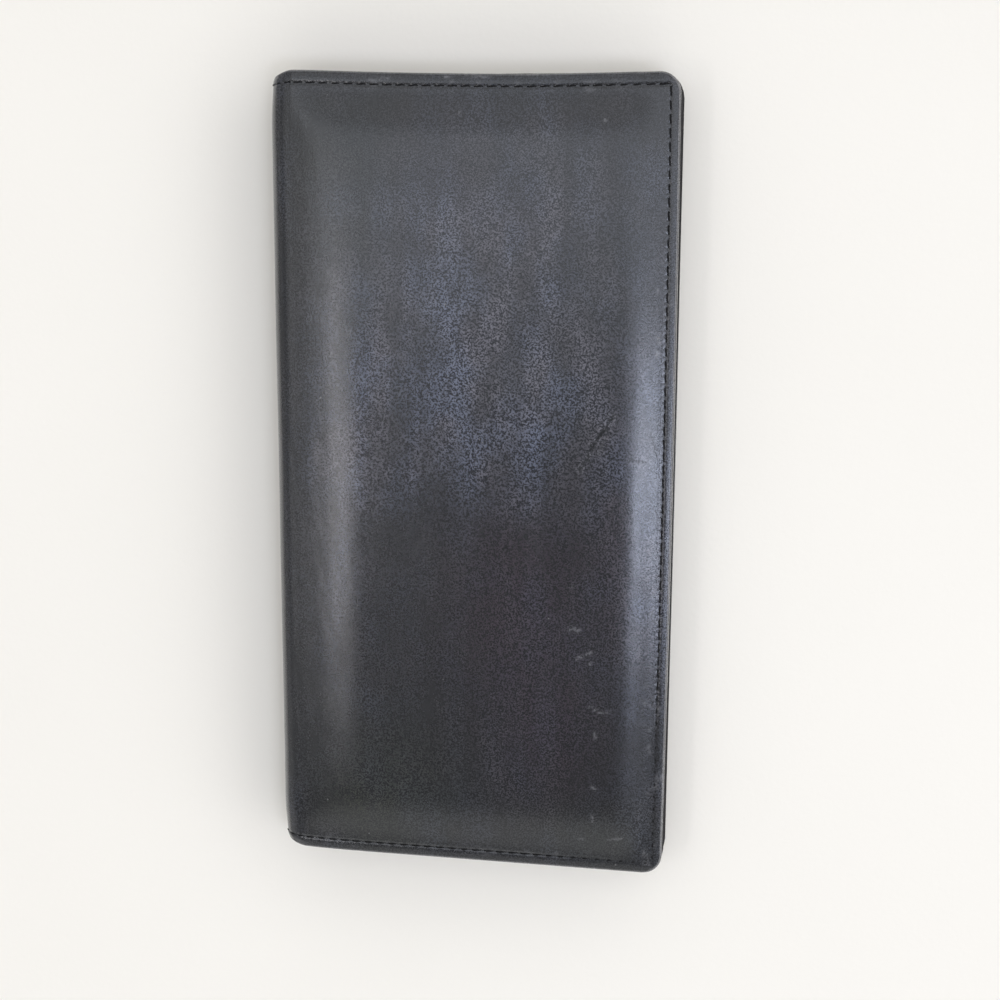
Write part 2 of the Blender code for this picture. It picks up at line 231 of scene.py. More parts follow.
def spine_level(s):
    """Profile across the spine: round at its back, flatter at the folds, with no edge there."""
    share = np.clip(np.abs(s) / ARC, 0, 1)
    slope = 2 * (CROWN_LEVEL - SPINE_R + FOLD_DIP) / FOLD_RISE * ARC * (1 - FOLD_DIP / SPINE_R)
    hollow = (slope + 4 * FOLD_DIP) / 2
    return SPINE_R - hollow * share**2 + (hollow - FOLD_DIP) * share**4


def outer_level(s, y):
    """Outer face of the cover: low at the rim, round the spine, high on the crown."""
    away = 1 - (1 - np.clip(away_from_fold(s) / FOLD_RISE, 0, 1)) ** 2
    margin = mix(spine_level(s) - SPINE_END_DIP, RIM_LEVEL, away)
    crown = mix(spine_level(s), CROWN_LEVEL, away)
    end_slope = mix(SPINE_END_SLOPE, END_SLOPE, away)
    from_side = swell(S_SEAM - np.abs(s), SIDE_SLOPE)
    from_end = swell(Y_SEAM - np.abs(y), end_slope)
    level = mix(margin, crown, from_side * from_end)
    past_end = np.clip((np.abs(y) - Y_SEAM) / END_INSET, 0, 1)
    past_side = np.clip((np.abs(s) - S_SEAM) / SIDE_INSET, 0, 1)
    roll = SPINE_END_ROLL * (1 - smooth((np.abs(s) - ARC * ROLL_FROM) / (ARC * ROLL_FADE)))
    level = level - MARGIN_ROLL * np.maximum(past_side, past_end) ** 2
    return level - roll * (1 - np.sqrt(1 - past_end**2))


def spine_angle(s):
    """Angle round the spine, from 0 on the back half to a half turn on the front half."""
    return (np.clip(s / ARC, -1, 1) + 1) * math.pi / 2


def near_end(y):
    """Eases from 0 in the middle to 1 at the head."""
    return smooth((y - SETTLE_FROM) / SETTLE_REACH)


def in_margin(y):
    """How far past the head's seam a point lies, in widths of the margin."""
    return np.clip((y - Y_SEAM) / END_INSET, 0, 2)


def settle(s, y):
    """Y of a point once the head and tail edges bow, lean and dip as the real ones do."""
    x = FOLD_X + away_from_fold(s)
    round_spine = np.sin(spine_angle(s)) ** 2
    bow = HEAD_BOW * (1 - ((x - BOW_X) / BOW_REACH) ** 2) + HEAD_WAVE * noise(s, 0 * s, 17, 10, 3)
    lean = HEAD_LEAN * np.clip((LEAN_X - x) / LEAN_REACH, 0, 1)
    head = (bow - lean + HEAD_SPINE_DIP * round_spine) * near_end(y)
    head = head + HEAD_MARGIN_DIP * round_spine * in_margin(y)
    tail = (TAIL_SPINE_DIP * round_spine - TAIL_DROP) * near_end(-y)
    tail = tail + TAIL_MARGIN_DIP * round_spine * in_margin(-y)
    return y - head + tail


def draw_in(x, y):
    """How far the open edge lies inside its true line, most near the head and the tail."""
    depth = OPEN_EDGE_IN + OPEN_EDGE_BOW * (y / Y_EDGE) ** 2
    return depth * smooth((x - OPEN_EDGE_FROM) / OPEN_EDGE_REACH)


def point(*coordinates):
    """Points from single numbers or arrays."""
    return np.stack(np.broadcast_arrays(*coordinates), axis=-1)


def place(s, y, level):
    """A point of the unrolled plan in the closed wallet."""
    angle = spine_angle(s)
    x = FOLD_X + away_from_fold(s) - level * np.sin(angle)
    return point(x - draw_in(x, y), settle(s, y), MID_Z - level * np.cos(angle))


def place_inner(side):
    """Places the face of a pocket layer: X, Y and minus its level."""

    def placed(x, y, height):
        return point(x - draw_in(x, y), settle(ARC + x - FOLD_X, y), MID_Z - side * height)

    return placed


# Meshes


def new_object(name, mesh):
    obj = bpy.data.objects.new(name, mesh)
    bpy.context.scene.collection.objects.link(obj)
    return obj


def build_mesh(name, points, faces, plan, marks=None, normals=None):
    """A mesh from points in millimetres, whose unrolled place is kept for its material."""
    mesh = bpy.data.meshes.new(name)
    mesh.from_pydata((np.asarray(points) * MM).tolist(), [], faces)
    bm = bmesh.new()
    bm.from_mesh(mesh)
    bmesh.ops.recalc_face_normals(bm, faces=bm.faces)
    bm.to_mesh(mesh)
    bm.free()
    mesh.shade_smooth()
    unrolled = mesh.attributes.new("unrolled", "FLOAT_VECTOR", "POINT")
    unrolled.data.foreach_set("vector", np.asarray(plan, np.float32).ravel())
    if marks is not None:
        layer = mesh.attributes.new("marks", "FLOAT_COLOR", "POINT")
        layer.data.foreach_set("color", np.asarray(marks, np.float32).ravel())
    if normals is not None:
        mesh.normals_split_custom_set_from_vertices(normals.tolist())
    return new_object(name, mesh)


def arc_of_corner(radius, angle):
    """A point of a corner's arc, as its distances in from the two edges that meet there."""
    return radius - radius * np.sin(angle), radius - radius * np.cos(angle)


def round_corner(u, v, corner, inward, radius, margin):
    """Moves the grid within a margin of one corner of its rectangle, so that the corner is round."""
    a = (u - corner[0]) * inward[0]
    b = (v - corner[1]) * inward[1]

    def edge(distance):
        reach = np.clip(radius - distance, 0, radius)
        return radius - np.sqrt(radius**2 - reach**2)

    beside_b = (b < margin) & (a >= margin)
    beside_a = (a < margin) & (b >= margin)
    new_b = np.where(beside_b, edge(a) + (1 - edge(a) / margin) * b, b)
    new_a = np.where(beside_a, edge(b) + (1 - edge(b) / margin) * a, a)

    block = (a < margin) & (b < margin)
    i = 1 - a[block] / margin
    j = 1 - b[block] / margin
    nearest = float(edge(np.array(margin)))
    low = math.asin(max(0.0, 1 - margin / radius))
    middle = math.pi / 4
    along_a = arc_of_corner(radius, mix(low, middle, i))
    along_b = arc_of_corner(radius, mix(math.pi / 2 - low, middle, j))
    tip = arc_of_corner(radius, middle)
    patch = []
    for axis, near_i, near_j in ((0, nearest, margin), (1, margin, nearest)):
        ruled_j = (1 - j) * mix(margin, near_i, i) + j * along_a[axis]
        ruled_i = (1 - i) * mix(margin, near_j, j) + i * along_b[axis]
        flat = (1 - i) * (1 - j) * margin + i * (1 - j) * near_i + (1 - i) * j * near_j
        patch.append(ruled_j + ruled_i - flat - i * j * tip[axis])
    new_a[block], new_b[block] = patch
    return corner[0] + inward[0] * new_a, corner[1] + inward[1] * new_b


def plan_grid(u_lines, v_lines, corners, margin=None):
    """A grid over a rectangle with rounded corners, and the way out at each of its points.

    corners: (at high U, at high V, radius) for each round corner.
    """
    u, v = np.meshgrid(u_lines, v_lines)
    out = np.zeros((*u.shape, 2))
    out[0, :, 1] = -1
    out[-1, :, 1] = 1
    out[1:-1, 0] = (-1, 0)
    out[1:-1, -1] = (1, 0)
    for at_high_u, at_high_v, radius in corners:
        corner = (u_lines[-1] if at_high_u else u_lines[0], v_lines[-1] if at_high_v else v_lines[0])
        inward = (-1 if at_high_u else 1, -1 if at_high_v else 1)
        u, v = round_corner(u, v, corner, inward, radius, margin or radius)
        across = (u - corner[0]) * inward[0] - radius
        along = (v - corner[1]) * inward[1] - radius
        turning = (across < 0) & (along < 0)
        length = np.maximum(np.hypot(across, along), 1e-6)
        out[turning, 0] = (across / length * inward[0])[turning]
        out[turning, 1] = (along / length * inward[1])[turning]
    return u, v, out


ALL_SIDES = ("tail", "high", "head", "low")


def border(rows, columns, sides):
    """The grid's border as runs of (row, column), broken at the sides that aren't rimmed."""
    walks = {
        "tail": [(0, c) for c in range(columns)],
        "high": [(r, columns - 1) for r in range(rows)],
        "head": [(rows - 1, c) for c in reversed(range(columns))],
        "low": [(r, 0) for r in reversed(range(rows))],
    }
    if len(sides) == len(ALL_SIDES):
        return [[step for side in ALL_SIDES for step in walks[side][:-1]]], True
    start = next(i for i, side in enumerate(ALL_SIDES) if side not in sides)
    runs = []
    for side in ALL_SIDES[start:] + ALL_SIDES[:start]:
        if side not in sides:
            runs.append([])
        else:
            runs[-1] += walks[side][1:] if runs[-1] else walks[side]
    return [run for run in runs if run], False


def ring_faces(rings, closed=True):
    """Quads between neighbouring rings of points, each of which may close on itself."""
    faces = []
    for ring, after in zip(rings, rings[1:]):
        for i in range(len(ring) if closed else len(ring) - 1):
            j = (i + 1) % len(ring)
            faces.append((ring[i], ring[j], after[j], after[i]))
    return faces


def shell(name, grid, top, bottom, rim, placed, coarse, sides=ALL_SIDES, marks=None, normals=None):
    """A closed sheet: a fine top face, a rim of rings, and a coarse underside.

    top: levels of the grid's points. bottom: levels of the underside at any plan point.
    rim: from the levels at the border, gives (distance out, levels) for each ring.
    coarse: the rows and the columns that the underside keeps.
    sides: the sides that are rimmed. The others are cut square, where the next piece meets.
    """
    u, v, out = grid
    rows, columns = u.shape
    keep_rows, keep_columns = coarse
    plan = [point(u, v, top).reshape(-1, 3)]
    faces = []
    for r in range(rows - 1):
        start = r * columns
        faces += [(i, i + 1, i + columns + 1, i + columns) for i in range(start, start + columns - 1)]
    under_start = rows * columns
    kept_points = [(r, c) for r in keep_rows for c in keep_columns]
    under_index = {at: under_start + i for i, at in enumerate(kept_points)}
    under_u = u[np.ix_(keep_rows, keep_columns)]
    under_v = v[np.ix_(keep_rows, keep_columns)]
    plan.append(point(under_u, under_v, bottom(under_u, under_v)).reshape(-1, 3))
    for r, next_r in zip(keep_rows, keep_rows[1:]):
        for c, next_c in zip(keep_columns, keep_columns[1:]):
            corners = ((r, c), (r, next_c), (next_r, next_c), (next_r, c))
            faces.append(tuple(under_index[at] for at in corners))

    runs, closed = border(rows, columns, sides)
    next_vertex = under_start + len(under_index)
    profile_at = {}
    for run in runs:
        at = tuple(np.array(run).T)
        rings = [[r * columns + c for r, c in run]]
        for distance, level in rim(top[at]):
            ring = (u[at] + out[at][:, 0] * distance, v[at] + out[at][:, 1] * distance)
            plan.append(point(*ring, level))
            rings.append(list(range(next_vertex, next_vertex + len(run))))
            next_vertex += len(run)
        faces += ring_faces(rings, closed)
        kept = [i for i, step in enumerate(run) if step in under_index]
        pairs = list(zip(kept, kept[1:])) + ([(kept[-1], len(run))] if closed else [])
        for i, j in pairs:
            stretch = [rings[-1][k % len(run)] for k in range(i, j + 1)]
            faces.append((*stretch, under_index[run[j % len(run)]], under_index[run[i]]))
        if not closed:
            for i in (0, -1):
                profile_at[run[i]] = [ring[i] for ring in rings]
    cut_columns = [(side, c) for side, c in (("low", 0), ("high", columns - 1)) if side not in sides]
    for side, c in cut_columns:
        for r, next_r in zip(keep_rows, keep_rows[1:]):
            stretch = [k * columns + c for k in range(r, next_r + 1)]
            faces.append((*stretch, under_index[next_r, c], under_index[r, c]))
        for r in (0, rows - 1):
            faces.append((*profile_at[r, c], under_index[r, c]))

    plan = np.concatenate(plan)
    all_marks = None if marks is None else marks(plan[:, 0], plan[:, 1])
    all_normals = None
    if normals is not None:
        all_normals = np.zeros((len(plan), 3))
        for side, c in cut_columns:
            all_normals[c : rows * columns : columns] = normals[side]
    return build_mesh(name, placed(*plan.T), faces, plan, all_marks, all_normals)


def every(count, step):
    """Indices 0, step, 2 step and so on, with the last one."""
    indices = list(range(0, count, step))
    return indices if indices[-1] == count - 1 else indices + [count - 1]


def both_ways(lines):
    """Mirrors rising positive values, so that they run from one end to the other."""
    return [-value for value in reversed(lines) if value > 0] + list(lines)


# Relief of the cover: the seam with its needle holes, and soft unevenness
GROOVE = 0.12
SIDE_GROOVE = 0.05
GROOVE_WIDTH = 0.30
HOLE = 0.45
HOLE_WIDTH = 0.24
DENT = 0.10
SMALL_DENT = 0.025
PEBBLE = 0.018
LONG_PEBBLE = 0.012
SLANTED_FOLD = 0.030
LONG_FOLD = 0.045
SEAM_CLEAR = 3.0
SEAM_FADE = 7


def from_bridge(offset, pitch):
    """Distance along a seam to the nearest bridge of leather between two stitches."""
    return np.abs(offset - np.round(offset / pitch) * pitch)


def seam_offsets(s, y):
    """Distance to the seam round the rim, and along it to the nearest bridge between stitches."""
    to_side = np.abs(np.abs(s) - S_SEAM) + np.maximum(np.abs(y) - Y_SEAM, 0)
    to_end = np.abs(np.abs(y) - Y_SEAM) + np.maximum(np.abs(s) - S_SEAM, 0)
    on_arc = from_bridge(s, ARC_PITCH)
    on_flat = from_bridge(np.abs(s) - ARC, END_PITCH)
    end_bridge = np.where(np.abs(s) < ARC, on_arc, on_flat)
    side_bridge = from_bridge(y, SIDE_PITCH)
    at_side = to_side < to_end
    return np.where(at_side, to_side, to_end), np.where(at_side, side_bridge, end_bridge)


def seam_wear(s, y):
    """How far the outer stitches are worn down: most at the front's tail corner."""
    tail_corner = smooth((s - ARC - 50) / 25) * smooth((-y - 40) / 20)
    return np.clip(tail_corner + 0.3 * noise(s, y, 5, 5, 71), 0, 1)


def line_distance(x, y, start, end):
    """Distance from points to a straight stretch."""
    run = np.subtract(end, start)
    share = np.clip(((x - start[0]) * run[0] + (y - start[1]) * run[1]) / (run @ run), 0, 1)
    return np.hypot(x - start[0] - share * run[0], y - start[1] - share * run[1])


def cover_top(s, y):
    """Outer face of the real leather: soft dents, folds by the spine, pebbles and the seam."""
    inside = smooth((rim_distance(s, y) - SEAM_CLEAR) / SEAM_FADE)
    height = DENT * inside * cloud(s, y, 34, 11) + SMALL_DENT * inside * cloud(s, y, 10, 15)
    pebbles = PEBBLE * cloud(s, y, 5, 17) + LONG_PEBBLE * noise(s, y, 3, 9, 19)
    height = height + inside * bump(np.abs(s) - S_SEAM + 6, 7) * pebbles
    fold = bump(np.abs(s) - ARC - 2, 9) * (0.55 + 0.45 * noise(s, y, 9, 26, 21))
    height = height + SLANTED_FOLD * fold * noise(s + 0.22 * y, y, 1.5, 8, 23) * inside
    height = height + LONG_FOLD * fold * noise(s, y, 2.6, 22, 25) * inside
    to_seam, to_bridge = seam_offsets(s, y)
    worn = seam_wear(s, y)
    drawn = smooth((to_bridge - 0.4 * BRIDGE) / 0.3)
    groove = (GROOVE + SIDE_GROOVE * smooth(np.abs(s) - S_SEAM + 2)) * (1 - 0.7 * worn)
    height = height - groove * drawn * bump(to_seam, GROOVE_WIDTH)
    to_hole = np.hypot(to_seam, to_bridge - 0.5 * BRIDGE)
    height = height - HOLE * (1 - 0.9 * worn) * bump(to_hole, HOLE_WIDTH)
    return outer_level(s, y) + height


# Gloss with painted sheen and highlights, and cast, of the cover in patches: X, Y, reach along both
# and strength
# Painted sheen: the crown's bluish reflection, painted into the colour where these patches are strong.
# They also lower the roughness there.
GLOSS_AND_PAINTED_SHEEN = (
    (-3.0, 24.0, 32.0, 40.0, 0.85),
    (24.0, 16.0, 16.0, 26.0, 0.45),
    (10.0, 66.0, 34.0, 22.0, 0.25),
)
# Painted highlights: bands on the open edge's slope and beside the spine, where the lamps' highlights
# fall
EDGE_GLOSS_AND_PAINTED_HIGHLIGHTS = (
    (41.0, -6.0, 8.0, 44.0, 0.80),
    (-31.0, -10.0, 8.0, 42.0, 0.45),
)
VIOLET = (
    (12.0, -28.0, 22.0, 34.0, 1.0),
    (20.0, -62.0, 16.0, 22.0, 0.7),
    (2.0, 60.0, 30.0, 24.0, 0.35),
    (36.0, -10.0, 10.0, 40.0, 0.6),
)
OLIVE = (
    (-22.0, -76.0, 22.0, 22.0, 1.0),
    (-30.0, 66.0, 16.0, 30.0, 0.5),
    (30.0, -84.0, 26.0, 9.0, 0.6),
    (-26.0, 30.0, 8.0, 40.0, 0.4),
)
PLAIN_GLOSS_AND_PAINTED_SHEEN = 0.13
GLOSS_AND_PAINTED_SHEEN_CLOUDS = 0.10
# Share of the front's gloss, painted sheen and cast that the back has, and how far bare leather is
# rubbed
BACK_SHARE_OF_PAINTED_SHEEN_AND_CAST = 0.6
RUBBED_SIDE = 0.55
RUBBED_SEAM = 0.35
RUBBED_RIM = 0.5

# Scuffs, and two painted glints at the top of the open edge's highlight: two ends, half the width and
# the strength
SCUFFS_AND_PAINTED_GLINTS = (
    ((24.2, -33.2), (26.4, -33.5), 0.55, 0.7),
    ((25.7, -40.6), (29.6, -38.8), 0.30, 0.8),
    ((29.4, -41.6), (29.8, -41.3), 0.30, 0.8),
    ((29.6, -52.0), (32.0, -53.2), 0.25, 0.8),
    ((32.0, -53.2), (34.6, -52.9), 0.25, 0.8),
    ((24.5, -23.3), (24.8, -23.0), 0.35, 0.5),
    ((30.7, -58.2), (31.0, -59.6), 0.35, 0.5),
    ((30.4, -71.6), (31.3, -72.4), 0.35, 0.7),
    ((30.5, -78.6), (30.8, -80.4), 0.25, 0.7),
    ((27.6, -85.1), (28.0, -85.1), 0.25, 0.6),
    ((34.6, -84.6), (37.8, -84.3), 0.22, 0.8),
    ((43.4, -87.0), (44.2, -90.6), 0.60, 0.7),
    # Painted highlight: the next two marks lighten the ragged top of the highlight by the open edge
    ((43.8, 34.9), (43.9, 33.9), 0.60, 0.9),
    ((43.2, 31.4), (43.6, 30.4), 0.55, 0.8),
    ((43.3, 45.3), (43.5, 44.9), 0.45, 0.6),
    ((46.0, 42.9), (46.3, 42.3), 0.45, 0.5),
    ((-22.8, 89.2), (-21.4, 90.6), 0.50, 0.5),
    ((-23.0, 91.0), (-18.6, 91.6), 0.40, 0.5),
    ((-5.6, 92.2), (-5.0, 92.1), 0.30, 0.9),
    ((0.5, 92.3), (5.0, 92.3), 0.25, 0.6),
    ((-4.4, 91.0), (-4.0, 91.1), 0.25, 0.7),
    ((-2.5, 84.3), (-2.2, 84.4), 0.25, 0.7),
    ((30.7, 82.8), (31.0, 82.7), 0.28, 0.8),
    ((-38.5, 82.5), (-38.3, 82.5), 0.22, 0.7),
)

# Creases of the front, which its material draws with painted shade: two ends and the strength
CREASE_WANDER = 1.8
CRACK_EDGE = 0.66
CRACK_CORE = 0.22
CREASES = (
    ((33.8, 16.8), (31.0, 12.4), 0.85),
    ((31.6, 13.6), (28.4, 9.0), 1.00),
    ((29.2, 9.6), (26.2, 4.4), 0.85),
    ((32.8, 13.6), (30.4, 8.2), 0.55),
    ((38.0, 7.0), (41.2, 6.4), 0.50),
    ((42.6, 12.6), (43.9, 7.4), 0.40),
)


def patches(x, y, places):
    total = np.zeros_like(x)
    for at_x, at_y, reach_x, reach_y, strength in places:
        total = total + strength * bump(np.hypot((x - at_x) / reach_x, (y - at_y) / reach_y), 0.8)
    return total


def cover_marks(s, y):
    """What the leather's material reads: scuffs with a few painted glints, gloss with painted sheen
    and highlights, and violet and olive cast.
    """
    x = FOLD_X + away_from_fold(s) - np.maximum(ARC - np.abs(s), 0)
    front = s > 0
    share = np.where(front, 1.0, BACK_SHARE_OF_PAINTED_SHEEN_AND_CAST)
    scuff_and_glint = np.zeros_like(x)
    for start, end, width, strength in SCUFFS_AND_PAINTED_GLINTS:
        mark = strength * bump(line_distance(x, y, start, end), width)
        scuff_and_glint = np.maximum(scuff_and_glint, np.where(front, mark, 0))
    spots = np.clip(cloud(s, y, 2.2, 41) * 1.6 - 0.35, 0, 1)
    lower_side = smooth((np.abs(s) - S_EDGE + 7) / 3) * smooth((20 - y) / 60)
    beside_seam = bump(seam_offsets(s, y)[0] - 0.8, 0.6)
    edge = bump(rim_distance(s, y) - 0.15, 0.35) * np.clip(0.35 + cloud(s, y, 6, 45), 0, 1)
    rubbed = (RUBBED_SIDE * spots * lower_side, RUBBED_SEAM * spots * beside_seam, RUBBED_RIM * edge)
    scuff_and_glint = np.maximum.reduce([scuff_and_glint, *rubbed])
    # The painted sheen stops below a ragged line across the crown, and the crown's lower part is left
    # dark
    above = smooth((y + 15 + 12 * cloud(s, y, 14, 49)) / 14)
    gloss_and_painted_sheen = patches(x, y, GLOSS_AND_PAINTED_SHEEN) * above + patches(x, y, EDGE_GLOSS_AND_PAINTED_HIGHLIGHTS)
    gloss_and_painted_sheen = PLAIN_GLOSS_AND_PAINTED_SHEEN + gloss_and_painted_sheen * share + GLOSS_AND_PAINTED_SHEEN_CLOUDS * cloud(s, y, 16, 47)
    violet, olive = (patches(x, y, places) * share for places in (VIOLET, OLIVE))
    return point(scuff_and_glint, np.clip(gloss_and_painted_sheen, 0, 1), violet, olive)


# Node trees


class Nodes:
    """Builds the nodes of a material or of the world, in order."""

    def __init__(self, owner):
        owner.use_nodes = True
        self.owner = owner
        self.tree = owner.node_tree

    def node(self, kind, inputs=None, **settings):
        made = self.tree.nodes.new("ShaderNode" + kind)
        for key, value in settings.items():
            setattr(made, key, value)
        for key, value in (inputs or {}).items():
            self.put(made.inputs[key], value)
        return made

    def put(self, socket, value):
        if isinstance(value, bpy.types.NodeSocket):
            self.tree.links.new(value, socket)
        elif socket.type == "RGBA":
            socket.default_value = (*value, 1)
        else:
            socket.default_value = value

    def math(self, operation, *values):
        return self.node("Math", dict(enumerate(values)), operation=operation).outputs[0]

    def times(self, a, b):
        return self.math("MULTIPLY", a, b)

    def plus(self, base, layer, weight):
        """The base and a weighted layer."""
        return self.math("MULTIPLY_ADD", layer, weight, base)

    def varied(self, base, layer, weight):
        """The base, moved up and down by a layer whose values lie round 0.5."""
        return self.plus(base, self.math("SUBTRACT", layer, 0.5), weight)

    def ramp(self, value, low, high, to_low=0.0, to_high=1.0, easing="SMOOTHSTEP"):
        """Maps a range of values onto another one."""
        inputs = dict(enumerate((value, low, high, to_low, to_high)))
        return self.node("MapRange", inputs, interpolation_type=easing).outputs["Result"]

    def blend(self, share, a, b):
        """Mixes two colours."""
        return self.node("Mix", {0: share, 6: a, 7: b}, data_type="RGBA").outputs[2]

    def vector(self, operation, inputs, output="Vector"):
        return self.node("VectorMath", inputs, operation=operation).outputs[output]

    def to_line(self, at, start, end):
        """Distance from a flat coordinate to a straight stretch."""
        run = Vector(end) - Vector(start)
        off = self.vector("SUBTRACT", {0: at, 1: start})
        share = self.vector("DOT_PRODUCT", {0: off, 1: run / run.length_squared}, "Value")
        share = self.math("MAXIMUM", self.math("MINIMUM", share, 1.0), 0.0)
        foot = self.vector("SCALE", {0: run, "Scale": share})
        return self.vector("DISTANCE", {0: off, 1: foot}, "Value")

    def stretch(self, vector, scale, turn=0.0):
        """Scales a coordinate in millimetres, after a turn about Z."""
        inputs = {"Vector": vector, "Scale": scale, "Rotation": (0, 0, turn)}
        return self.node("Mapping", inputs).outputs["Vector"]

    def noise(self, vector, scale, detail=2.0, roughness=0.5, output="Fac"):
        inputs = {"Vector": vector, "Scale": scale, "Detail": detail, "Roughness": roughness}
        return self.node("TexNoise", inputs).outputs[output]

    def cells(self, vector, scale, feature="F1"):
        made = self.node("TexVoronoi", {"Vector": vector, "Scale": scale}, feature=feature)
        return made.outputs["Distance"]

    def raised(self, height, distance, normal=None):
        """The normal of a relief whose height of 1 stands this many millimetres."""
        inputs = {"Height": height, "Distance": distance * MM, "Strength": 1.0}
        if normal is not None:
            inputs["Normal"] = normal
        return self.node("Bump", inputs).outputs["Normal"]

    def unrolled(self):
        return self.node("Attribute", attribute_name="unrolled").outputs["Vector"]

    def object_mm(self):
        """Object coordinates in millimetres."""
        return self.stretch(self.node("TexCoord").outputs["Object"], (1 / MM, 1 / MM, 1 / MM))

    def finish(self, **values):
        surface = self.tree.nodes["Principled BSDF"]
        for key, value in values.items():
            self.put(surface.inputs[key.replace("_", " ")], value)
        return self.owner


def new_material(name):
    return Nodes(bpy.data.materials.new(name))


def leather_grain(shader, at):
    """Fine pebbles with flat tops, pores between them, and short hair wrinkles."""
    pebbles = shader.cells(at, 2.9, feature="SMOOTH_F1")
    fine = shader.noise(at, 2.4, detail=3.0, roughness=0.75)
    return shader.plus(shader.times(pebbles, -0.45), fine, 1.3)


def creases(shader, at):
    """Ragged cracks, darkened with painted shade, and lighter flecks beside them."""
    wander = shader.noise(at, 1.3, detail=3.0, output="Color")
    flat = shader.stretch(at, (1, 1, 0))
    flat = shader.vector("MULTIPLY_ADD", {0: wander, 1: (CREASE_WANDER, CREASE_WANDER, 0), 2: flat})
    broken = shader.ramp(shader.noise(at, 1.7), 0.38, 0.48)
    cracks_and_painted_shade = 0.0
    beside = 0.0
    middle = CREASE_WANDER / 2
    for start, end, strength in CREASES:
        ends = [(ARC + x - FOLD_X + middle, y + middle, 0) for x, y in (start, end)]
        distance = shader.to_line(flat, *ends)
        crack_and_painted_shade = shader.ramp(distance, CRACK_EDGE * strength, CRACK_CORE * strength, 0.0, strength)
        near = shader.ramp(distance, 1.5, 0.5, 0.0, strength)
        cracks_and_painted_shade = shader.math("MAXIMUM", cracks_and_painted_shade, crack_and_painted_shade)
        beside = shader.math("MAXIMUM", beside, near)
    return shader.times(cracks_and_painted_shade, broken), beside


def cover_leather():
    """Polished black leather, with a violet or olive cast, wear, scuffs and creases in places, and
    painted sheen, highlights and shade in its colour.
    """
    shader = new_material("cover_leather")
    at = shader.unrolled()
    marks = shader.node("Attribute", attribute_name="marks").outputs
    split = shader.node("SeparateColor", {"Color": marks["Color"]})
    scuff_and_glint, gloss_and_painted_sheen, violet = (split.outputs[i] for i in range(3))
    olive = marks["Alpha"]
    clouds = shader.noise(at, 0.06, detail=4.0)
    mottle = shader.noise(shader.stretch(at, (1.0, 0.5, 1.0), 0.08), 0.14)
    streaks = shader.noise(shader.stretch(at, (1.0, 0.10, 1.0), 0.04), 0.17)
    tint = shader.noise(shader.stretch(at, (1.0, 0.6, 1.0), -0.06), 0.11)
    fine = shader.noise(at, 2.4, detail=3.0, roughness=0.65)
    ragged = shader.noise(at, 1.1, detail=4.0, roughness=0.7)
    height = leather_grain(shader, at)
    cracks_and_painted_shade, beside = creases(shader, at)

    # Pores and the tops between them, each with its cast and its painted sheen, and then the marks
    # over both, with painted shade in the cracks
    gloss_and_painted_sheen = shader.times(gloss_and_painted_sheen, shader.ramp(mottle, 0.35, 0.65, 0.60, 1.20))
    gloss_and_painted_sheen = shader.times(gloss_and_painted_sheen, shader.ramp(streaks, 0.35, 0.65, 0.70, 1.15))
    pores = shader.blend(clouds, (0.0090, 0.0092, 0.0105), (0.0130, 0.0132, 0.0145))
    # Painted reflection: where the sheen is strong, the pores take a bluish dark
    pores = shader.blend(gloss_and_painted_sheen, pores, (0.0080, 0.0095, 0.0150))
    tops = shader.blend(clouds, (0.0135, 0.0140, 0.0160), (0.0190, 0.0195, 0.0215))
    tops = shader.blend(violet, tops, (0.0320, 0.0200, 0.0290))
    tops = shader.blend(shader.times(olive, 0.8), tops, (0.0250, 0.0290, 0.0180))
    # Painted reflection: pale bluish colours that the tops take where the sheen is strong
    cast = shader.blend(shader.ramp(tint, 0.34, 0.66), (0.125, 0.140, 0.195), (0.141, 0.136, 0.163))
    tops = shader.blend(gloss_and_painted_sheen, tops, cast)
    colour = shader.blend(shader.ramp(height, 0.41, 0.54), pores, tops)
    ragged_scuff_and_glint = shader.times(scuff_and_glint, shader.ramp(ragged, 0.38, 0.58))
    colour = shader.blend(shader.times(ragged_scuff_and_glint, 0.8), colour, (0.190, 0.190, 0.205))
    few = shader.ramp(shader.noise(shader.stretch(at, (1, 1, 1), 0.7), 0.30), 0.60, 0.66)
    flecks = shader.times(shader.ramp(shader.cells(at, 0.35), 0.09, 0.05), few)
    colour = shader.blend(shader.times(flecks, 0.7), colour, (0.17, 0.17, 0.175))
    flecks_beside_cracks = shader.times(beside, shader.ramp(fine, 0.52, 0.62))
    colour = shader.blend(shader.times(flecks_beside_cracks, 0.5), colour, (0.19, 0.19, 0.21))
    # Painted shade: the cracks turn near black, as shaded creases do. Their coat, roughness and relief
    # change too.
    colour = shader.blend(cracks_and_painted_shade, colour, (0.003, 0.003, 0.004))

    roughness = shader.ramp(gloss_and_painted_sheen, 0.0, 1.0, 0.24, 0.19)
    for layer, weight in ((mottle, -0.14), (streaks, 0.10), (fine, 0.12)):
        roughness = shader.varied(roughness, layer, weight)
    for layer, weight in ((ragged_scuff_and_glint, 0.15), (cracks_and_painted_shade, 0.55)):
        roughness = shader.plus(roughness, layer, weight)
    grain = shader.raised(shader.plus(height, cracks_and_painted_shade, -1.0), 0.040)
    wrinkles = shader.noise(shader.stretch(at, (1.0, 0.16, 1.0), 0.25), 1.3, detail=3.0)
    return shader.finish(
        Base_Color=colour,
        Roughness=roughness,
        Normal=shader.raised(wrinkles, 0.04, grain),
        Specular_Tint=(0.90, 0.93, 1.0),
        Coat_Weight=shader.plus(0.8, cracks_and_painted_shade, -0.8),
        Coat_Roughness=0.12,
        Coat_Normal=shader.raised(height, 0.018),
    )


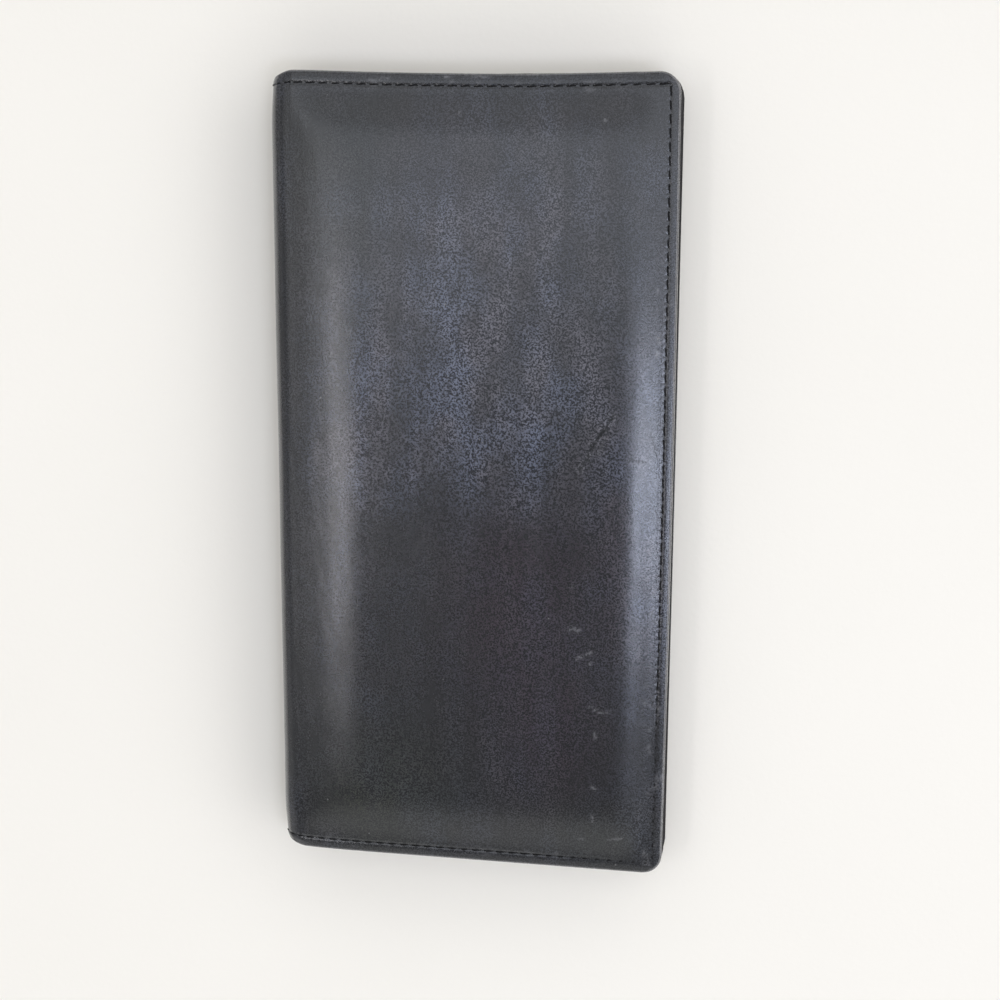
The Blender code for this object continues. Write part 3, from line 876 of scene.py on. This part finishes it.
def hem_leather():
    """The same leather on the turned hem, thinner and matter."""
    shader = new_material("hem_leather")
    at = shader.object_mm()
    clouds = shader.noise(at, 0.3, detail=3.0)
    return shader.finish(
        Base_Color=shader.blend(clouds, (0.012, 0.011, 0.012), (0.028, 0.025, 0.024)),
        Roughness=shader.ramp(clouds, 0.3, 0.7, 0.50, 0.62),
        Normal=shader.raised(leather_grain(shader, at), 0.05),
    )


def pocket_leather():
    """Thin satin leather with a fine printed grain."""
    shader = new_material("pocket_leather")
    at = shader.unrolled()
    fine = shader.noise(at, 2.8, detail=3.0)
    pebbles = shader.cells(at, 1.7, feature="SMOOTH_F1")
    height = shader.plus(shader.times(pebbles, -1.0), fine, 0.5)
    clouds = shader.noise(at, 0.10, detail=3.0)
    return shader.finish(
        Base_Color=shader.blend(clouds, (0.019, 0.019, 0.021), (0.030, 0.030, 0.033)),
        Roughness=shader.varied(0.46, fine, 0.15),
        Normal=shader.raised(height, 0.07),
    )


def lining_twill():
    """Matt black twill, whose ribs run on the slant."""
    shader = new_material("lining_twill")
    at = shader.unrolled()
    slant = math.radians(35)
    ribs = shader.node(
        "TexWave",
        {
            "Vector": shader.stretch(at, (1, 1, 1), slant),
            "Scale": 0.75,
            "Distortion": 0.6,
            "Detail": 1.0,
            "Detail Scale": 1.5,
        },
        bands_direction="X",
    ).outputs["Fac"]
    yarn = shader.noise(shader.stretch(at, (1.0, 3.0, 1.0), slant), 2.0)
    shade = shader.times(ribs, yarn)
    return shader.finish(
        Base_Color=shader.blend(shade, (0.014, 0.014, 0.016), (0.050, 0.050, 0.056)),
        Roughness=0.88,
        Normal=shader.raised(shader.math("ADD", ribs, yarn), 0.05),
        Sheen_Weight=0.12,
    )


def padding_felt():
    """Grey felted foam, inside the cover."""
    shader = new_material("padding_felt")
    at = shader.stretch(shader.object_mm(), (1.0, 0.4, 1.0), 0.5)
    hairs = shader.noise(at, 1.6, detail=4.0, roughness=0.7)
    return shader.finish(
        Base_Color=shader.blend(hairs, (0.20, 0.20, 0.195), (0.36, 0.36, 0.35)),
        Roughness=0.92,
        Normal=shader.raised(hairs, 0.15),
    )


def waxed_thread():
    """Black waxed thread, slightly dusty between its plies."""
    shader = new_material("waxed_thread")
    fibres = shader.noise(shader.stretch(shader.unrolled(), (4.0, 4.0, 1.0), 0.6), 2.0)
    return shader.finish(
        Base_Color=shader.blend(fibres, (0.003, 0.003, 0.004), (0.012, 0.012, 0.013)),
        Roughness=0.78,
        Normal=shader.raised(fibres, 0.03),
        Specular_IOR_Level=0.15,
    )


def clear_film():
    """Clear soft film, faintly scratched."""
    shader = new_material("clear_film")
    at = shader.stretch(shader.unrolled(), (1.0, 0.05, 1.0), 0.4)
    scratches = shader.noise(at, 1.2, detail=4.0)
    return shader.finish(
        Base_Color=shader.blend(scratches, (0.80, 0.82, 0.84), (0.90, 0.91, 0.92)),
        Roughness=shader.ramp(scratches, 0.35, 0.75, 0.10, 0.26),
        Alpha=0.12,
    )


def floor_paper():
    """Pale warm paper."""
    shader = new_material("floor_paper")
    at = shader.object_mm()
    clouds = shader.noise(at, 0.01)
    return shader.finish(
        Base_Color=shader.blend(clouds, (0.87, 0.845, 0.795), (0.91, 0.885, 0.835)),
        Roughness=0.8,
        Normal=shader.raised(shader.noise(at, 0.6, detail=3.0), 0.04),
    )


COVER = cover_leather()
HEM = hem_leather()
POCKET = pocket_leather()
TWILL = lining_twill()
FELT = padding_felt()
THREAD = waxed_thread()
FILM = clear_film()


def dress(obj, material):
    obj.data.materials.clear()
    obj.data.materials.append(material)
    return obj


# The four stretches of everything that bends round the spine, split where the strips are widest
SPLITS = (-S_EDGE, -STRIP, 0.0, STRIP, S_EDGE)
FOLD_REACH = 3.1
BENDS = (-ARC - FOLD_REACH, -STRIP, 0.0, STRIP, ARC + FOLD_REACH)
# Where a sheet lies round the spine, and how far its levels spread from that
COVER_BEND = (5.0, 0.65)


def bend(obj, number, radius, spread):
    """Bakes a stretch's transform. It works out where the stretch runs between its two bodies, but
    nothing uses that.

    radius is where the sheet lies round the spine. Its levels lie within spread of that.
    """
    start, end = (Vector(place(BENDS[number + i], 0.0, radius).tolist()) for i in (0, 1))
    way = (end - start).normalized()
    start, end = start + way * spread, end - way * spread
    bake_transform(obj)


def stretch_nodes(half, *strips):
    """CAD nodes of the four stretches, which take the spine's first strip, and its other two."""
    return (
        [f"back_{half}"],
        [f"spine_{strip}_1" for strip in strips],
        [f"spine_{strip}_{number}" for strip in strips for number in (2, 3)],
        [f"front_{half}"],
    )


def seam_steps(pitch, count, start=0.0):
    """Grid lines over a run of stitches, closer together at the needle holes."""
    return [start + (i + step) * pitch for i in range(count) for step in STITCH_STEPS]


def past_seam(seam, end):
    return [seam, seam + 0.25, seam + 0.5, *np.linspace(seam + 0.5, end, 4)[1:]]


def surface_normals(points):
    """Normals of a grid of points, away from the wallet's middle."""
    normals = np.cross(np.gradient(points, axis=1), np.gradient(points, axis=0))
    normals /= np.linalg.norm(normals, axis=-1, keepdims=True)
    middle = (points.shape[0] // 2, points.shape[1] // 2)
    outward = normals[middle] @ (points[middle] - np.array([FOLD_X, 0, MID_Z])) > 0
    return normals if outward else -normals


def make_sheet(names, half, length, radius, margin, level, under, rim, step, facing):
    """One sheet over the whole unrolled plan, cut into its four stretches.

    half and length: grid lines from the middle out. radius and margin: of the corners.
    step: how many lines of the fine face lie between two of the other one.
    facing is 1 where the fine face is the outer one, and -1 where it is the inner one.
    """
    s_lines = both_ways(half)
    y_lines = both_ways(length)
    corners = [(i, j, radius) for i in (False, True) for j in (False, True)]
    u, v, out = plan_grid(s_lines, y_lines, corners, margin)
    top = level(u, v)
    normals = surface_normals(place(u, v, top)) * facing
    marks = cover_marks if facing > 0 else None
    open_edges = {0: ["low"], len(names) - 1: ["high"]}
    cuts = [int(np.argmin(np.abs(np.array(s_lines) - split))) for split in SPLITS]
    for number, name in enumerate(names):
        low, high = cuts[number : number + 2]
        cut = slice(low, high + 1)
        grid = (u[:, cut], v[:, cut], out[:, cut])
        coarse = (every(len(y_lines), step), every(high - low + 1, step))
        seams = {"low": normals[:, low], "high": normals[:, high]}
        sides = ["tail", "head"] + open_edges.get(number, [])
        yield number, shell(name, grid, top[:, cut], under, rim, place, coarse, sides, marks, seams)


def rounding(radius, steps):
    """Quarter round: how far out and how far down each ring lies."""
    angles = [math.pi / 2 * (i + 1) / steps for i in range(steps)]
    return [(radius * math.sin(a), radius * (1 - math.cos(a))) for a in angles]


def cover_rim(top):
    """The cut edge's round, its wall down to the hem, and the turned leather's inner wall."""
    wall_in = EDGE_R - HEM_CLEARANCE
    return [
        *[(out, top - down) for out, down in rounding(EDGE_R, 5)],
        *[(EDGE_R, mix(top - EDGE_R, WALL_END_LEVEL + 0.15, share)) for share in (0.5, 1.0)],
        (EDGE_R - WALL_BEVEL, WALL_END_LEVEL),
        (wall_in + WALL_BEVEL, WALL_END_LEVEL),
        (wall_in, WALL_END_LEVEL + 0.1),
        (wall_in, PADDING_LEVEL),
    ]


def cover_under(s, y):
    thick = mix(SPINE_LEATHER, COVER_LEATHER, smooth((np.abs(s) - ARC + 1) / 4))
    return np.maximum(outer_level(s, y) - thick, PADDING_LEVEL)


def make_cover():
    """The outer leather: one sheet from edge to edge, over both halves and the spine."""
    steps = ARC_STITCHES * ARC_STEPS
    half = [ARC * i / steps for i in range(steps)]
    half += seam_steps(END_PITCH, END_STITCHES, ARC) + past_seam(S_SEAM, S_EDGE - EDGE_R)
    length = seam_steps(SIDE_PITCH, SIDE_STITCHES) + past_seam(Y_SEAM, Y_EDGE - EDGE_R)
    names = ("back_leather", "spine_leather_low", "spine_leather_high", "front_leather")
    nodes = stretch_nodes("cover", "leather")
    corner = (CORNER_R - EDGE_R, SIDE_INSET - EDGE_R)
    faces = (cover_top, cover_under, cover_rim)
    for number, piece in make_sheet(names, half, length, *corner, *faces, ARC_STEPS, FRONT):
        dress(piece, COVER)
        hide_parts(*nodes[number])
        bend(piece, number, *COVER_BEND)


# Lining, gathered round the inside of the closed spine
LINING_INSET = 1.0
LINING_R = CORNER_R - LINING_INSET
LINING_STEPS = 45
GATHER_FOLDS = 7
GATHER_DEPTH = 0.75
LINING_IN, LINING_OUT = levels_of("front_lining")
LINING_BEND = (LINING_IN, 0.5)


def lining_face(s, y):
    """The lining's inner face, in the folds that it lies in inside the closed spine."""
    turn = spine_angle(s) + 0.10 * noise(s, y, 6, 34, 51)
    depth = GATHER_DEPTH * (0.8 + 0.35 * noise(s, y, 4, 26, 53))
    fade = smooth((ARC - np.abs(s)) / 1.5) * smooth((Y_EDGE - 3 - np.abs(y)) / 6)
    return LINING_IN - depth * fade * (0.5 - 0.5 * np.cos(2 * GATHER_FOLDS * turn))


def lining_under(s, y):
    return lining_face(s, y) + (LINING_OUT - LINING_IN)


def lining_rim(top):
    return [(0.1, top + 0.04), (0.14, top + 0.125), (0.1, top + 0.21)]


def make_lining():
    half = [ARC * i / LINING_STEPS for i in range(LINING_STEPS)]
    half += np.linspace(ARC, S_EDGE - LINING_INSET, 34).tolist()
    length = np.linspace(0, Y_EDGE - LINING_INSET, 56).tolist()
    names = ("back_lining_cloth", "spine_lining_low", "spine_lining_high", "front_lining_cloth")
    nodes = stretch_nodes("lining", "lining")
    faces = (lining_face, lining_under, lining_rim)
    for number, piece in make_sheet(names, half, length, LINING_R, None, *faces, 1, BACK):
        dress(piece, TWILL)
        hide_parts(*nodes[number])
        bend(piece, number, *LINING_BEND)


# Stitches
THREAD_R = 0.18
THREAD_LIFT = -0.02
THREAD_SINK = 0.45
THREAD_SLANT = 0.07
OUTER_SINK = 0.04
WORN_SINK = 0.02
WORN_SHORT = 0.62
PLY_TWISTS = 2.0
PLY_DEPTH = 0.13
STITCH_RINGS = 11
STITCH_SIDES = 8


def stitch_plan(start, end, surface):
    """Points of one stitch, a twisted thread that dips into a needle hole at both ends.

    start and end are the middles of the bridges of leather beside it.
    """
    run = np.subtract(end, start)
    length = np.hypot(*run)
    start = start + run * BRIDGE / 2 / length
    run = run * (1 - BRIDGE / length)
    side = np.array([-run[1], run[0]]) / (length - BRIDGE)
    t = np.linspace(0, 1, STITCH_RINGS)
    t = (t + smooth(t)) / 2
    t = 0.5 + (t - 0.5) * (1 - WORN_SHORT * seam_wear(*(start + 0.5 * run)))
    centre = start + t[:, None] * run + THREAD_SLANT * (2 * t - 1)[:, None] * side
    lift = mix(-THREAD_SINK, THREAD_LIFT, 1 - np.abs(np.linspace(-1, 1, STITCH_RINGS)) ** 5)
    level = surface(*centre.T) + lift
    thick = THREAD_R * (0.8 + 0.2 * np.sin(math.pi * t))
    angle = np.linspace(0, 2 * math.pi, STITCH_SIDES, endpoint=False)
    ply = 1 + PLY_DEPTH * np.cos(2 * (angle[None, :] - math.pi * PLY_TWISTS * t[:, None]))
    radius = thick[:, None] * ply
    across = radius * np.cos(angle)[None, :]
    plan = np.empty((STITCH_RINGS, STITCH_SIDES, 3))
    plan[..., :2] = centre[:, None, :] + across[..., None] * side
    plan[..., 2] = level[:, None] + radius * np.sin(angle)[None, :]
    return plan.reshape(-1, 3)


def stitch_faces(first):
    starts = [first + ring * STITCH_SIDES for ring in range(STITCH_RINGS)]
    rings = [tuple(range(start, start + STITCH_SIDES)) for start in starts]
    return [rings[0], *ring_faces(rings), rings[-1]]


def make_stitches(name, ends, surface, placed):
    """One piece from the stitches between these pairs of needle holes."""
    plans = [stitch_plan(start, end, surface) for start, end in ends]
    size = STITCH_RINGS * STITCH_SIDES
    faces = [face for i in range(len(plans)) for face in stitch_faces(i * size)]
    plan = np.concatenate(plans)
    return dress(build_mesh(name, placed(*plan.T), faces, plan), THREAD)


def pairs_along(points):
    return list(zip(points, points[1:]))


SIDE_HOLES = both_ways([i * SIDE_PITCH for i in range(SIDE_STITCHES + 1)])


def outer_seam():
    """Needle holes of the head and the tail seam, and of the two open edges."""
    half = [i * ARC_PITCH for i in range(ARC_STITCHES)]
    half += [ARC + i * END_PITCH for i in range(END_STITCHES + 1)]
    runs = [[(s, y) for s in both_ways(half)] for y in (Y_SEAM, -Y_SEAM)]
    runs += [[(s, y) for y in SIDE_HOLES] for s in (S_SEAM, -S_SEAM)]
    return [pair for run in runs for pair in pairs_along(run)]


def outer_stitch_level(s, y):
    return outer_level(s, y) - OUTER_SINK - WORN_SINK * seam_wear(s, y)


def make_outer_stitches():
    seam = outer_seam()
    names = ("back_rim_stitches", "spine_stitches_low", "spine_stitches_high", "front_rim_stitches")
    nodes = stretch_nodes("rim_thread", "head_thread", "tail_thread")
    for number, name in enumerate(names):
        low, high = SPLITS[number : number + 2]
        ends = [pair for pair in seam if low < (pair[0][0] + pair[1][0]) / 2 < high]
        piece = make_stitches(name, ends, outer_stitch_level, place)
        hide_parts(*nodes[number])
        bend(piece, number, *COVER_BEND)


# Pockets. Their height is minus their level, so that it grows towards the mid plane.
POCKET_CORNER_R = 5.1
MOUTH_CORNER_R = 0.8
CREASE_FROM_MOUTH = 1.6
CREASE_WIDTH = 0.22
MOUTH_CREASE = 0.06
WINDOW_CREASE = 0.07
NEAR_MOUTH = (0.8, 1.2, CREASE_FROM_MOUTH, 2.0, 2.6)
EDGE_LINES = 6.0
LAYER_COLUMNS = 22
LAYER_ROW = 4
POCKET_WAVE = 0.10
COLUMN_SEAM = 3.5
BACK_CARDS = [f"back_card_slot_{row}" for row in range(1, 5)]
FRONT_CARDS = [f"front_card_slot_{row}" for row in range(1, 4)]


def ride_half(piece, side):
    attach(piece, "front_half" if side == FRONT else "back_half")


def pocket_wave(x, y):
    """Soft unevenness that all the layers of a half share."""
    inside = smooth((X_EDGE - x) / 16) * smooth((Y_EDGE - np.abs(y)) / 16)
    return POCKET_WAVE * inside * cloud(x, y, 26, 61)


def graded(low, high, count):
    """Grid lines that are closer together near both ends."""
    near = [0, 0.15, 0.4, *NEAR_MOUTH, EDGE_LINES]
    middle = np.linspace(low + EDGE_LINES, high - EDGE_LINES, count)[1:-1].tolist()
    return [low + step for step in near] + middle + [high - step for step in reversed(near)]


def make_layer(name, crease=True, material=POCKET):
    """A flat pocket layer in the place of its CAD node, with rounded edges and a pressed line."""
    side = BACK if name.startswith("back") else FRONT
    low, high = box_mm(name)
    inner, outer = levels_of(name)
    thick = outer - inner
    edge_r = thick / 2
    x_lines = graded(low.x + edge_r, high.x - edge_r, LAYER_COLUMNS)
    y_lines = graded(low.y + edge_r, high.y - edge_r, round((high.y - low.y) / LAYER_ROW))
    corners = [(False, False, MOUTH_CORNER_R), (False, True, MOUTH_CORNER_R)]
    for at_high, y in ((False, low.y), (True, high.y)):
        at_rim = abs(y) > Y_EDGE - 1
        corners.append((True, at_high, (POCKET_CORNER_R if at_rim else MOUTH_CORNER_R) - edge_r))
    grid = plan_grid(x_lines, y_lines, corners)

    def face(x, y):
        pressed = MOUTH_CREASE * bump(x - low.x - CREASE_FROM_MOUTH, CREASE_WIDTH) if crease else 0
        return -inner + pocket_wave(x, y) - pressed

    def under(x, y):
        return -outer + pocket_wave(x, y)

    def rim(top):
        rings = rounding(edge_r, 3)
        upper = [(out, top - down) for out, down in rings]
        return upper + [(out, top - thick + down) for out, down in reversed(rings[:-1])]

    coarse = (every(len(y_lines), 4), every(len(x_lines), 4))
    piece = shell(f"{name}_leather", grid, face(*grid[:2]), under, rim, place_inner(side), coarse)
    dress(piece, material)
    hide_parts(name)
    ride_half(piece, side)


WINDOW_BORDER = 8.0
WINDOW_R = 3.0
ARC_POINTS = 9
SIDE_POINTS = 40


def outline_of(x_ends, y_ends, radii):
    """Points round a rectangle with rounded corners, as many on each side and corner."""
    arcs = []
    for (i, j, start), radius in zip(((1, 0, -90), (1, 1, 0), (0, 1, 90), (0, 0, 180)), radii):
        centre = np.array((x_ends[i] + radius * (1 - 2 * i), y_ends[j] + radius * (1 - 2 * j)))
        angles = np.radians(start + np.linspace(0, 90, ARC_POINTS))
        arcs.append(centre + radius * np.column_stack([np.cos(angles), np.sin(angles)]))
    shares = np.arange(1, SIDE_POINTS + 1)[:, None] / (SIDE_POINTS + 1)
    sides = [mix(arc[-1], after[0], shares) for arc, after in zip(arcs, arcs[1:] + arcs[:1])]
    return np.concatenate([part for pair in zip(arcs, sides) for part in pair])


def make_window_frame():
    """The leather frame round the identity card window, pressed along its inner edge."""
    low, high = box_mm("window_frame")
    inner, outer = levels_of("window_frame")
    edge_r = (outer - inner) / 2
    corners = (POCKET_CORNER_R, MOUTH_CORNER_R, MOUTH_CORNER_R, MOUTH_CORNER_R)
    outline = outline_of((low.x, high.x), (low.y, high.y), corners)
    x_hole = (low.x + WINDOW_BORDER, X_SEAM - WINDOW_BORDER)
    y_hole = (WINDOW_BORDER - Y_SEAM, high.y - WINDOW_BORDER)
    hole = outline_of(x_hole, y_hole, [WINDOW_R] * 4)
    run = outline - hole
    away = run / np.hypot(*run.T)[:, None]
    turns = np.linspace(-math.pi / 2, math.pi / 2, 7)
    edge = [(edge_r * (1 - math.cos(turn)), edge_r * math.sin(turn)) for turn in turns]
    rings = [(hole + away * out, height) for out, height in edge]
    for step in (0.3, *NEAR_MOUTH):
        pressed = WINDOW_CREASE * bump(step - CREASE_FROM_MOUTH, CREASE_WIDTH)
        rings.append((hole + away * (edge_r + step), edge_r - pressed))
    rings += [(hole + run * share, edge_r) for share in (0.5, 0.8)]
    rings += [(outline - away * out, height) for out, height in reversed(edge)]
    rings.append((hole + run * 0.5, -edge_r))
    middle = -(inner + outer) / 2
    plan = np.concatenate([point(*at.T, middle + height + pocket_wave(*at.T)) for at, height in rings])
    starts = [number % len(rings) * len(hole) for number in range(len(rings) + 1)]
    faces = ring_faces([range(start, start + len(hole)) for start in starts])
    piece = build_mesh("window_frame_leather", place_inner(FRONT)(*plan.T), faces, plan)
    dress(piece, POCKET)
    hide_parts("window_frame")
    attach(piece, "front_half")


def make_layers():
    panels = ["back_pocket_panel", "front_pocket_panel"]
    for name in panels + BACK_CARDS + ["front_slip_pocket"] + FRONT_CARDS:
        make_layer(name)
    make_window_frame()
    make_layer("window_film", crease=False, material=FILM)
    for node in ("back_hem", "front_hem"):
        dress(frame["nodes"][node], HEM)


def mouths(nodes):
    """Mouth and inner level of each of these layers, from the spine on."""
    return sorted((box_mm(node)[0].x, levels_of(node)[0]) for node in nodes)


def stepped(layers):
    """Height of the top layer at each place along a seam that crosses the mouths."""
    lowest = -layers[0][1]

    def surface(x, y):
        height = np.full(np.shape(x), lowest)
        for mouth, level in layers:
            height = np.maximum(height, np.where(x > mouth - 0.3, -level, lowest))
        return height + pocket_wave(x, y)

    return surface


def along_x(start, y):
    """Pairs of needle holes from a place near the spine to the open edge's seam."""
    count = round((X_SEAM - start) / END_PITCH)
    return pairs_along([(mix(start, X_SEAM, i / count), y) for i in range(count + 1)])


def make_inner_stitches():
    """The rim seam where it comes out on the pockets, and the seams between the columns."""
    front_base = ["front_pocket_panel", "front_slip_pocket"]
    back = mouths(["back_pocket_panel"] + BACK_CARDS)
    head = mouths(front_base + FRONT_CARDS)
    tail = mouths(front_base + ["window_frame"])
    start = back[0][0] + 1.0
    sides = pairs_along([(X_SEAM, y) for y in SIDE_HOLES])
    plans = (
        ("back_inner_stitches", back, along_x(start, Y_SEAM)),
        ("back_tail_stitches", back, along_x(start, -Y_SEAM)),
        ("back_side_stitches", back, sides),
        ("front_inner_stitches", head, along_x(start, Y_SEAM)),
        ("front_tail_stitches", tail, along_x(start, -Y_SEAM)),
        ("front_side_stitches", head, [pair for pair in sides if pair[0][1] >= 0]),
        ("window_side_stitches", tail, [pair for pair in sides if pair[0][1] < 0]),
        ("divider_stitches", back, along_x(back[1][0] + 0.5, 0.0)),
        ("head_column_stitches", head, along_x(head[2][0] + 0.5, COLUMN_SEAM)),
        ("tail_column_stitches", tail, along_x(tail[2][0] + 0.5, -COLUMN_SEAM)),
    )
    nodes = {
        "divider_stitches": "back_divider_thread",
        "head_column_stitches": "head_column_thread",
        "tail_column_stitches": "tail_column_thread",
    }
    for name, layers, ends in plans:
        side = BACK if layers is back else FRONT
        piece = make_stitches(name, ends, stepped(layers), place_inner(side))
        if name in nodes:
            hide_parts(nodes[name])
        ride_half(piece, side)


# Padding, inside the cover
PADDING_GAP = 0.3
PAD_INSET = 0.5
PAD_R = 3.0
SPINE_PAD_INSET = 0.8
SPINE_PAD_END = 7.2
SPINE_PAD_GAP = 0.1
SPINE_PAD_LIFT = 0.08
# Grid lines of the pads, across and along
HALF_PAD_LINES = (40, 80)
SPINE_PAD_LINES = (12, 60)


def pad_rim(top):
    return [(0.3, top - 0.05), (0.45, mix(top, PADDING_LEVEL, 0.5)), (0.3, PADDING_LEVEL + 0.05)]


def spine_pad_rim(top):
    """The long edges lie higher than the middle, so that they stay under the opened lining."""
    low = PADDING_LEVEL + SPINE_PAD_LIFT
    return [(0.1, top - 0.03), (0.15, mix(top, low, 0.5)), (0.1, low + 0.03)]


def make_pad(name, node, lines, y_count, step, corners, face, under, rim):
    """A felt pad between two levels. step: every how many of its columns the underside keeps."""
    low, high = box_mm(node)
    y_lines = np.linspace(low.y + PAD_INSET, high.y - PAD_INSET, y_count)
    grid = plan_grid(lines, y_lines, corners)
    coarse = (every(y_count, 2), every(len(lines), step))
    piece = shell(name, grid, face(*grid[:2]), under, rim, place, coarse)
    dress(piece, FELT)
    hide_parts(node)
    return piece


def half_pad_face(s, y):
    """The padding fills the cover, apart from a gap."""
    return np.maximum(outer_level(s, y) - COVER_LEATHER - PADDING_GAP, PADDING_LEVEL + 0.3)


def half_pad_under(s, y):
    return PADDING_LEVEL + 0.02


def make_half_pad(half, side):
    node = f"{half}_padding"
    low, high = box_mm(node)
    reach = (low.x + PAD_INSET, high.x - PAD_INSET)
    lines = sorted(side * np.linspace(*(ARC + x - FOLD_X for x in reach), HALF_PAD_LINES[0]))
    corners = [(side == FRONT, j, PAD_R) for j in (False, True)]
    levels = (half_pad_face, half_pad_under, pad_rim)
    piece = make_pad(f"{half}_pad", node, lines, HALF_PAD_LINES[1], 2, corners, *levels)
    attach(piece, f"{half}_half")


def make_spine_pad(strip):
    middle = (strip - 2) * STRIP
    reach = STRIP / 2 - SPINE_PAD_INSET
    ends = (max(middle - reach, -SPINE_PAD_END), min(middle + reach, SPINE_PAD_END))
    lines = np.linspace(*ends, SPINE_PAD_LINES[0])

    def under(s, y):
        return PADDING_LEVEL + 0.03 + SPINE_PAD_LIFT * ((s - middle) / reach) ** 2

    def face(s, y):
        return np.maximum(spine_level(s) - SPINE_LEATHER - SPINE_PAD_GAP, under(s, y) + 0.06)

    node = f"spine_padding_{strip}"
    levels = (face, under, spine_pad_rim)
    piece = make_pad(f"spine_pad_{strip}", node, lines, SPINE_PAD_LINES[1], 1, [], *levels)
    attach(piece, f"spine_strip_{strip}")


make_cover()
make_outer_stitches()
make_lining()
make_layers()
make_inner_stitches()
make_half_pad("back", BACK)
make_half_pad("front", FRONT)
for strip in (1, 2, 3):
    make_spine_pad(strip)


# Studio. The room is pale all round and dimmer overhead, where the wallet's crown mirrors it.
FLOOR_SIZE = 12.0
FLOOR_DROP = 0.2
WALL_LIGHT = 1.75
CEILING_LIGHT = 0.15
WALL_FOOT = 0.35
FOOT_TOP = 0.34
WALL_TOP = 0.30
CEILING_START = 0.65
SPINE_SIDE_LIGHT = 0.25
OPEN_SIDE_LIGHT = 2.3
ROOM_COLOUR = (1.0, 0.99, 0.975)
BACKGROUND = (0.80, 0.785, 0.75)
# Lamps: place and aim in metres, size along X and Y, radiance and colour
LAMPS = {
    "upper_softbox": ((0.0, 0.155, 0.95), (0, 0, 0), (1.3, 0.38), 1.08, (0.90, 0.94, 1.0)),
    "head_fill": ((-0.02, 0.55, 0.85), (0, 0, 0), (1.3, 0.36), 0.65, (0.98, 0.99, 1.0)),
    "tail_fill": ((0.0, -0.80, 0.72), (0, 0, 0), (1.3, 0.45), 0.42, (1.0, 1.0, 0.95)),
    "open_edge_near": ((0.275, -0.165, 0.75), (0, -0.165, 0), (0.10, 0.15), 7.6, (0.76, 0.83, 1.0)),
    "open_edge_far": ((0.43, -0.13, 0.75), (0, -0.13, 0), (0.22, 0.13), 7.2, (0.78, 0.84, 1.0)),
    "open_edge_glow": ((0.155, -0.07, 0.80), (0, -0.07, 0), (0.12, 0.11), 1.6, (0.78, 0.84, 1.0)),
    "spine_lamp": ((-0.395, -0.155, 0.80), (0, -0.155, 0), (0.11, 0.31), 4.6, (1.0, 0.97, 0.98)),
    "spine_side_fill": ((-0.62, 0.08, 0.75), (0, 0.08, 0), (0.35, 0.90), 0.6, (1.0, 0.99, 0.96)),
    "right_wall": ((0.95, -0.1, 0.50), (0, 0, 0), (0.8, 0.5), 1.0, (0.97, 0.96, 1.0)),
}


def make_floor():
    bm = bmesh.new()
    bmesh.ops.create_grid(bm, x_segments=1, y_segments=1, size=FLOOR_SIZE / 2)
    mesh = bpy.data.meshes.new("floor")
    bm.to_mesh(mesh)
    bm.free()
    mesh.materials.append(floor_paper())
    floor = new_object("floor", mesh)
    floor.location.z = -FLOOR_DROP * MM


def make_lamp(name, at, aim, size, radiance, colour):
    """A soft rectangular lamp at a point, turned to another, with its sides along X and Y."""
    light = bpy.data.lights.new(name, "AREA")
    light.shape = "RECTANGLE"
    light.size, light.size_y = size
    light.energy = radiance * math.pi * size[0] * size[1]
    light.color = colour
    lamp = new_object(name, light)
    lamp.location = at
    lamp.rotation_mode = "QUATERNION"
    back = (Vector(at) - Vector(aim)).normalized()
    across = Vector((0, 1, 0)).cross(back).normalized()
    axes = Matrix((across, back.cross(across), back)).transposed()
    lamp.rotation_quaternion = axes.to_quaternion()


def make_room():
    """Walls that are dim at their foot and brighter towards the open edge, and a plain background."""
    world = bpy.data.worlds.new("studio")
    room = Nodes(world)
    way = room.node("SeparateXYZ", {"Vector": room.node("TexCoord").outputs["Generated"]}).outputs
    height = room.ramp(way["Z"], WALL_TOP, CEILING_START, WALL_LIGHT, CEILING_LIGHT)
    foot = room.ramp(way["Z"], 0.0, FOOT_TOP, WALL_FOOT)
    side = room.ramp(way["X"], -1.0, 1.0, SPINE_SIDE_LIGHT, OPEN_SIDE_LIGHT, "LINEAR")
    lighting = room.tree.nodes["Background"]
    room.put(lighting.inputs["Color"], ROOM_COLOUR)
    room.put(lighting.inputs["Strength"], room.times(room.times(height, foot), side))
    seen = room.node("Background", {"Color": BACKGROUND}).outputs[0]
    rays = room.node("LightPath").outputs["Is Camera Ray"]
    either = room.node("MixShader", {0: rays, 1: lighting.outputs[0], 2: seen}).outputs[0]
    room.put(room.tree.nodes["World Output"].inputs["Surface"], either)
    bpy.context.scene.world = world


# Camera, fitted to the wallet's outline in the photograph
LENS = 57.6
SENSOR = 36.0
CAMERA_TURNS = (10.84, -9.68, -2.17)
CAMERA_OFFSET = Vector((-6.3, 4.8, -377.8))


def make_camera():
    """The turns and the offset take a point of the wallet into the camera's own frame."""
    about_x, about_y, about_z = (
        Matrix.Rotation(math.radians(turn), 3, axis) for turn, axis in zip(CAMERA_TURNS, "XYZ")
    )
    back = (about_z @ about_y @ about_x).transposed()
    data = bpy.data.cameras.new("camera")
    data.lens = LENS
    data.sensor_width = SENSOR
    data.clip_start = 0.01
    camera = new_object("camera", data)
    at = (Vector((0, 0, MID_Z)) - back @ CAMERA_OFFSET) * MM
    camera.matrix_world = Matrix.Translation(at) @ back.to_4x4()
    bpy.context.scene.camera = camera


make_floor()
for name, lamp in LAMPS.items():
    make_lamp(name, *lamp)
make_room()
make_camera()
bpy.context.scene.view_settings.view_transform = "Standard"
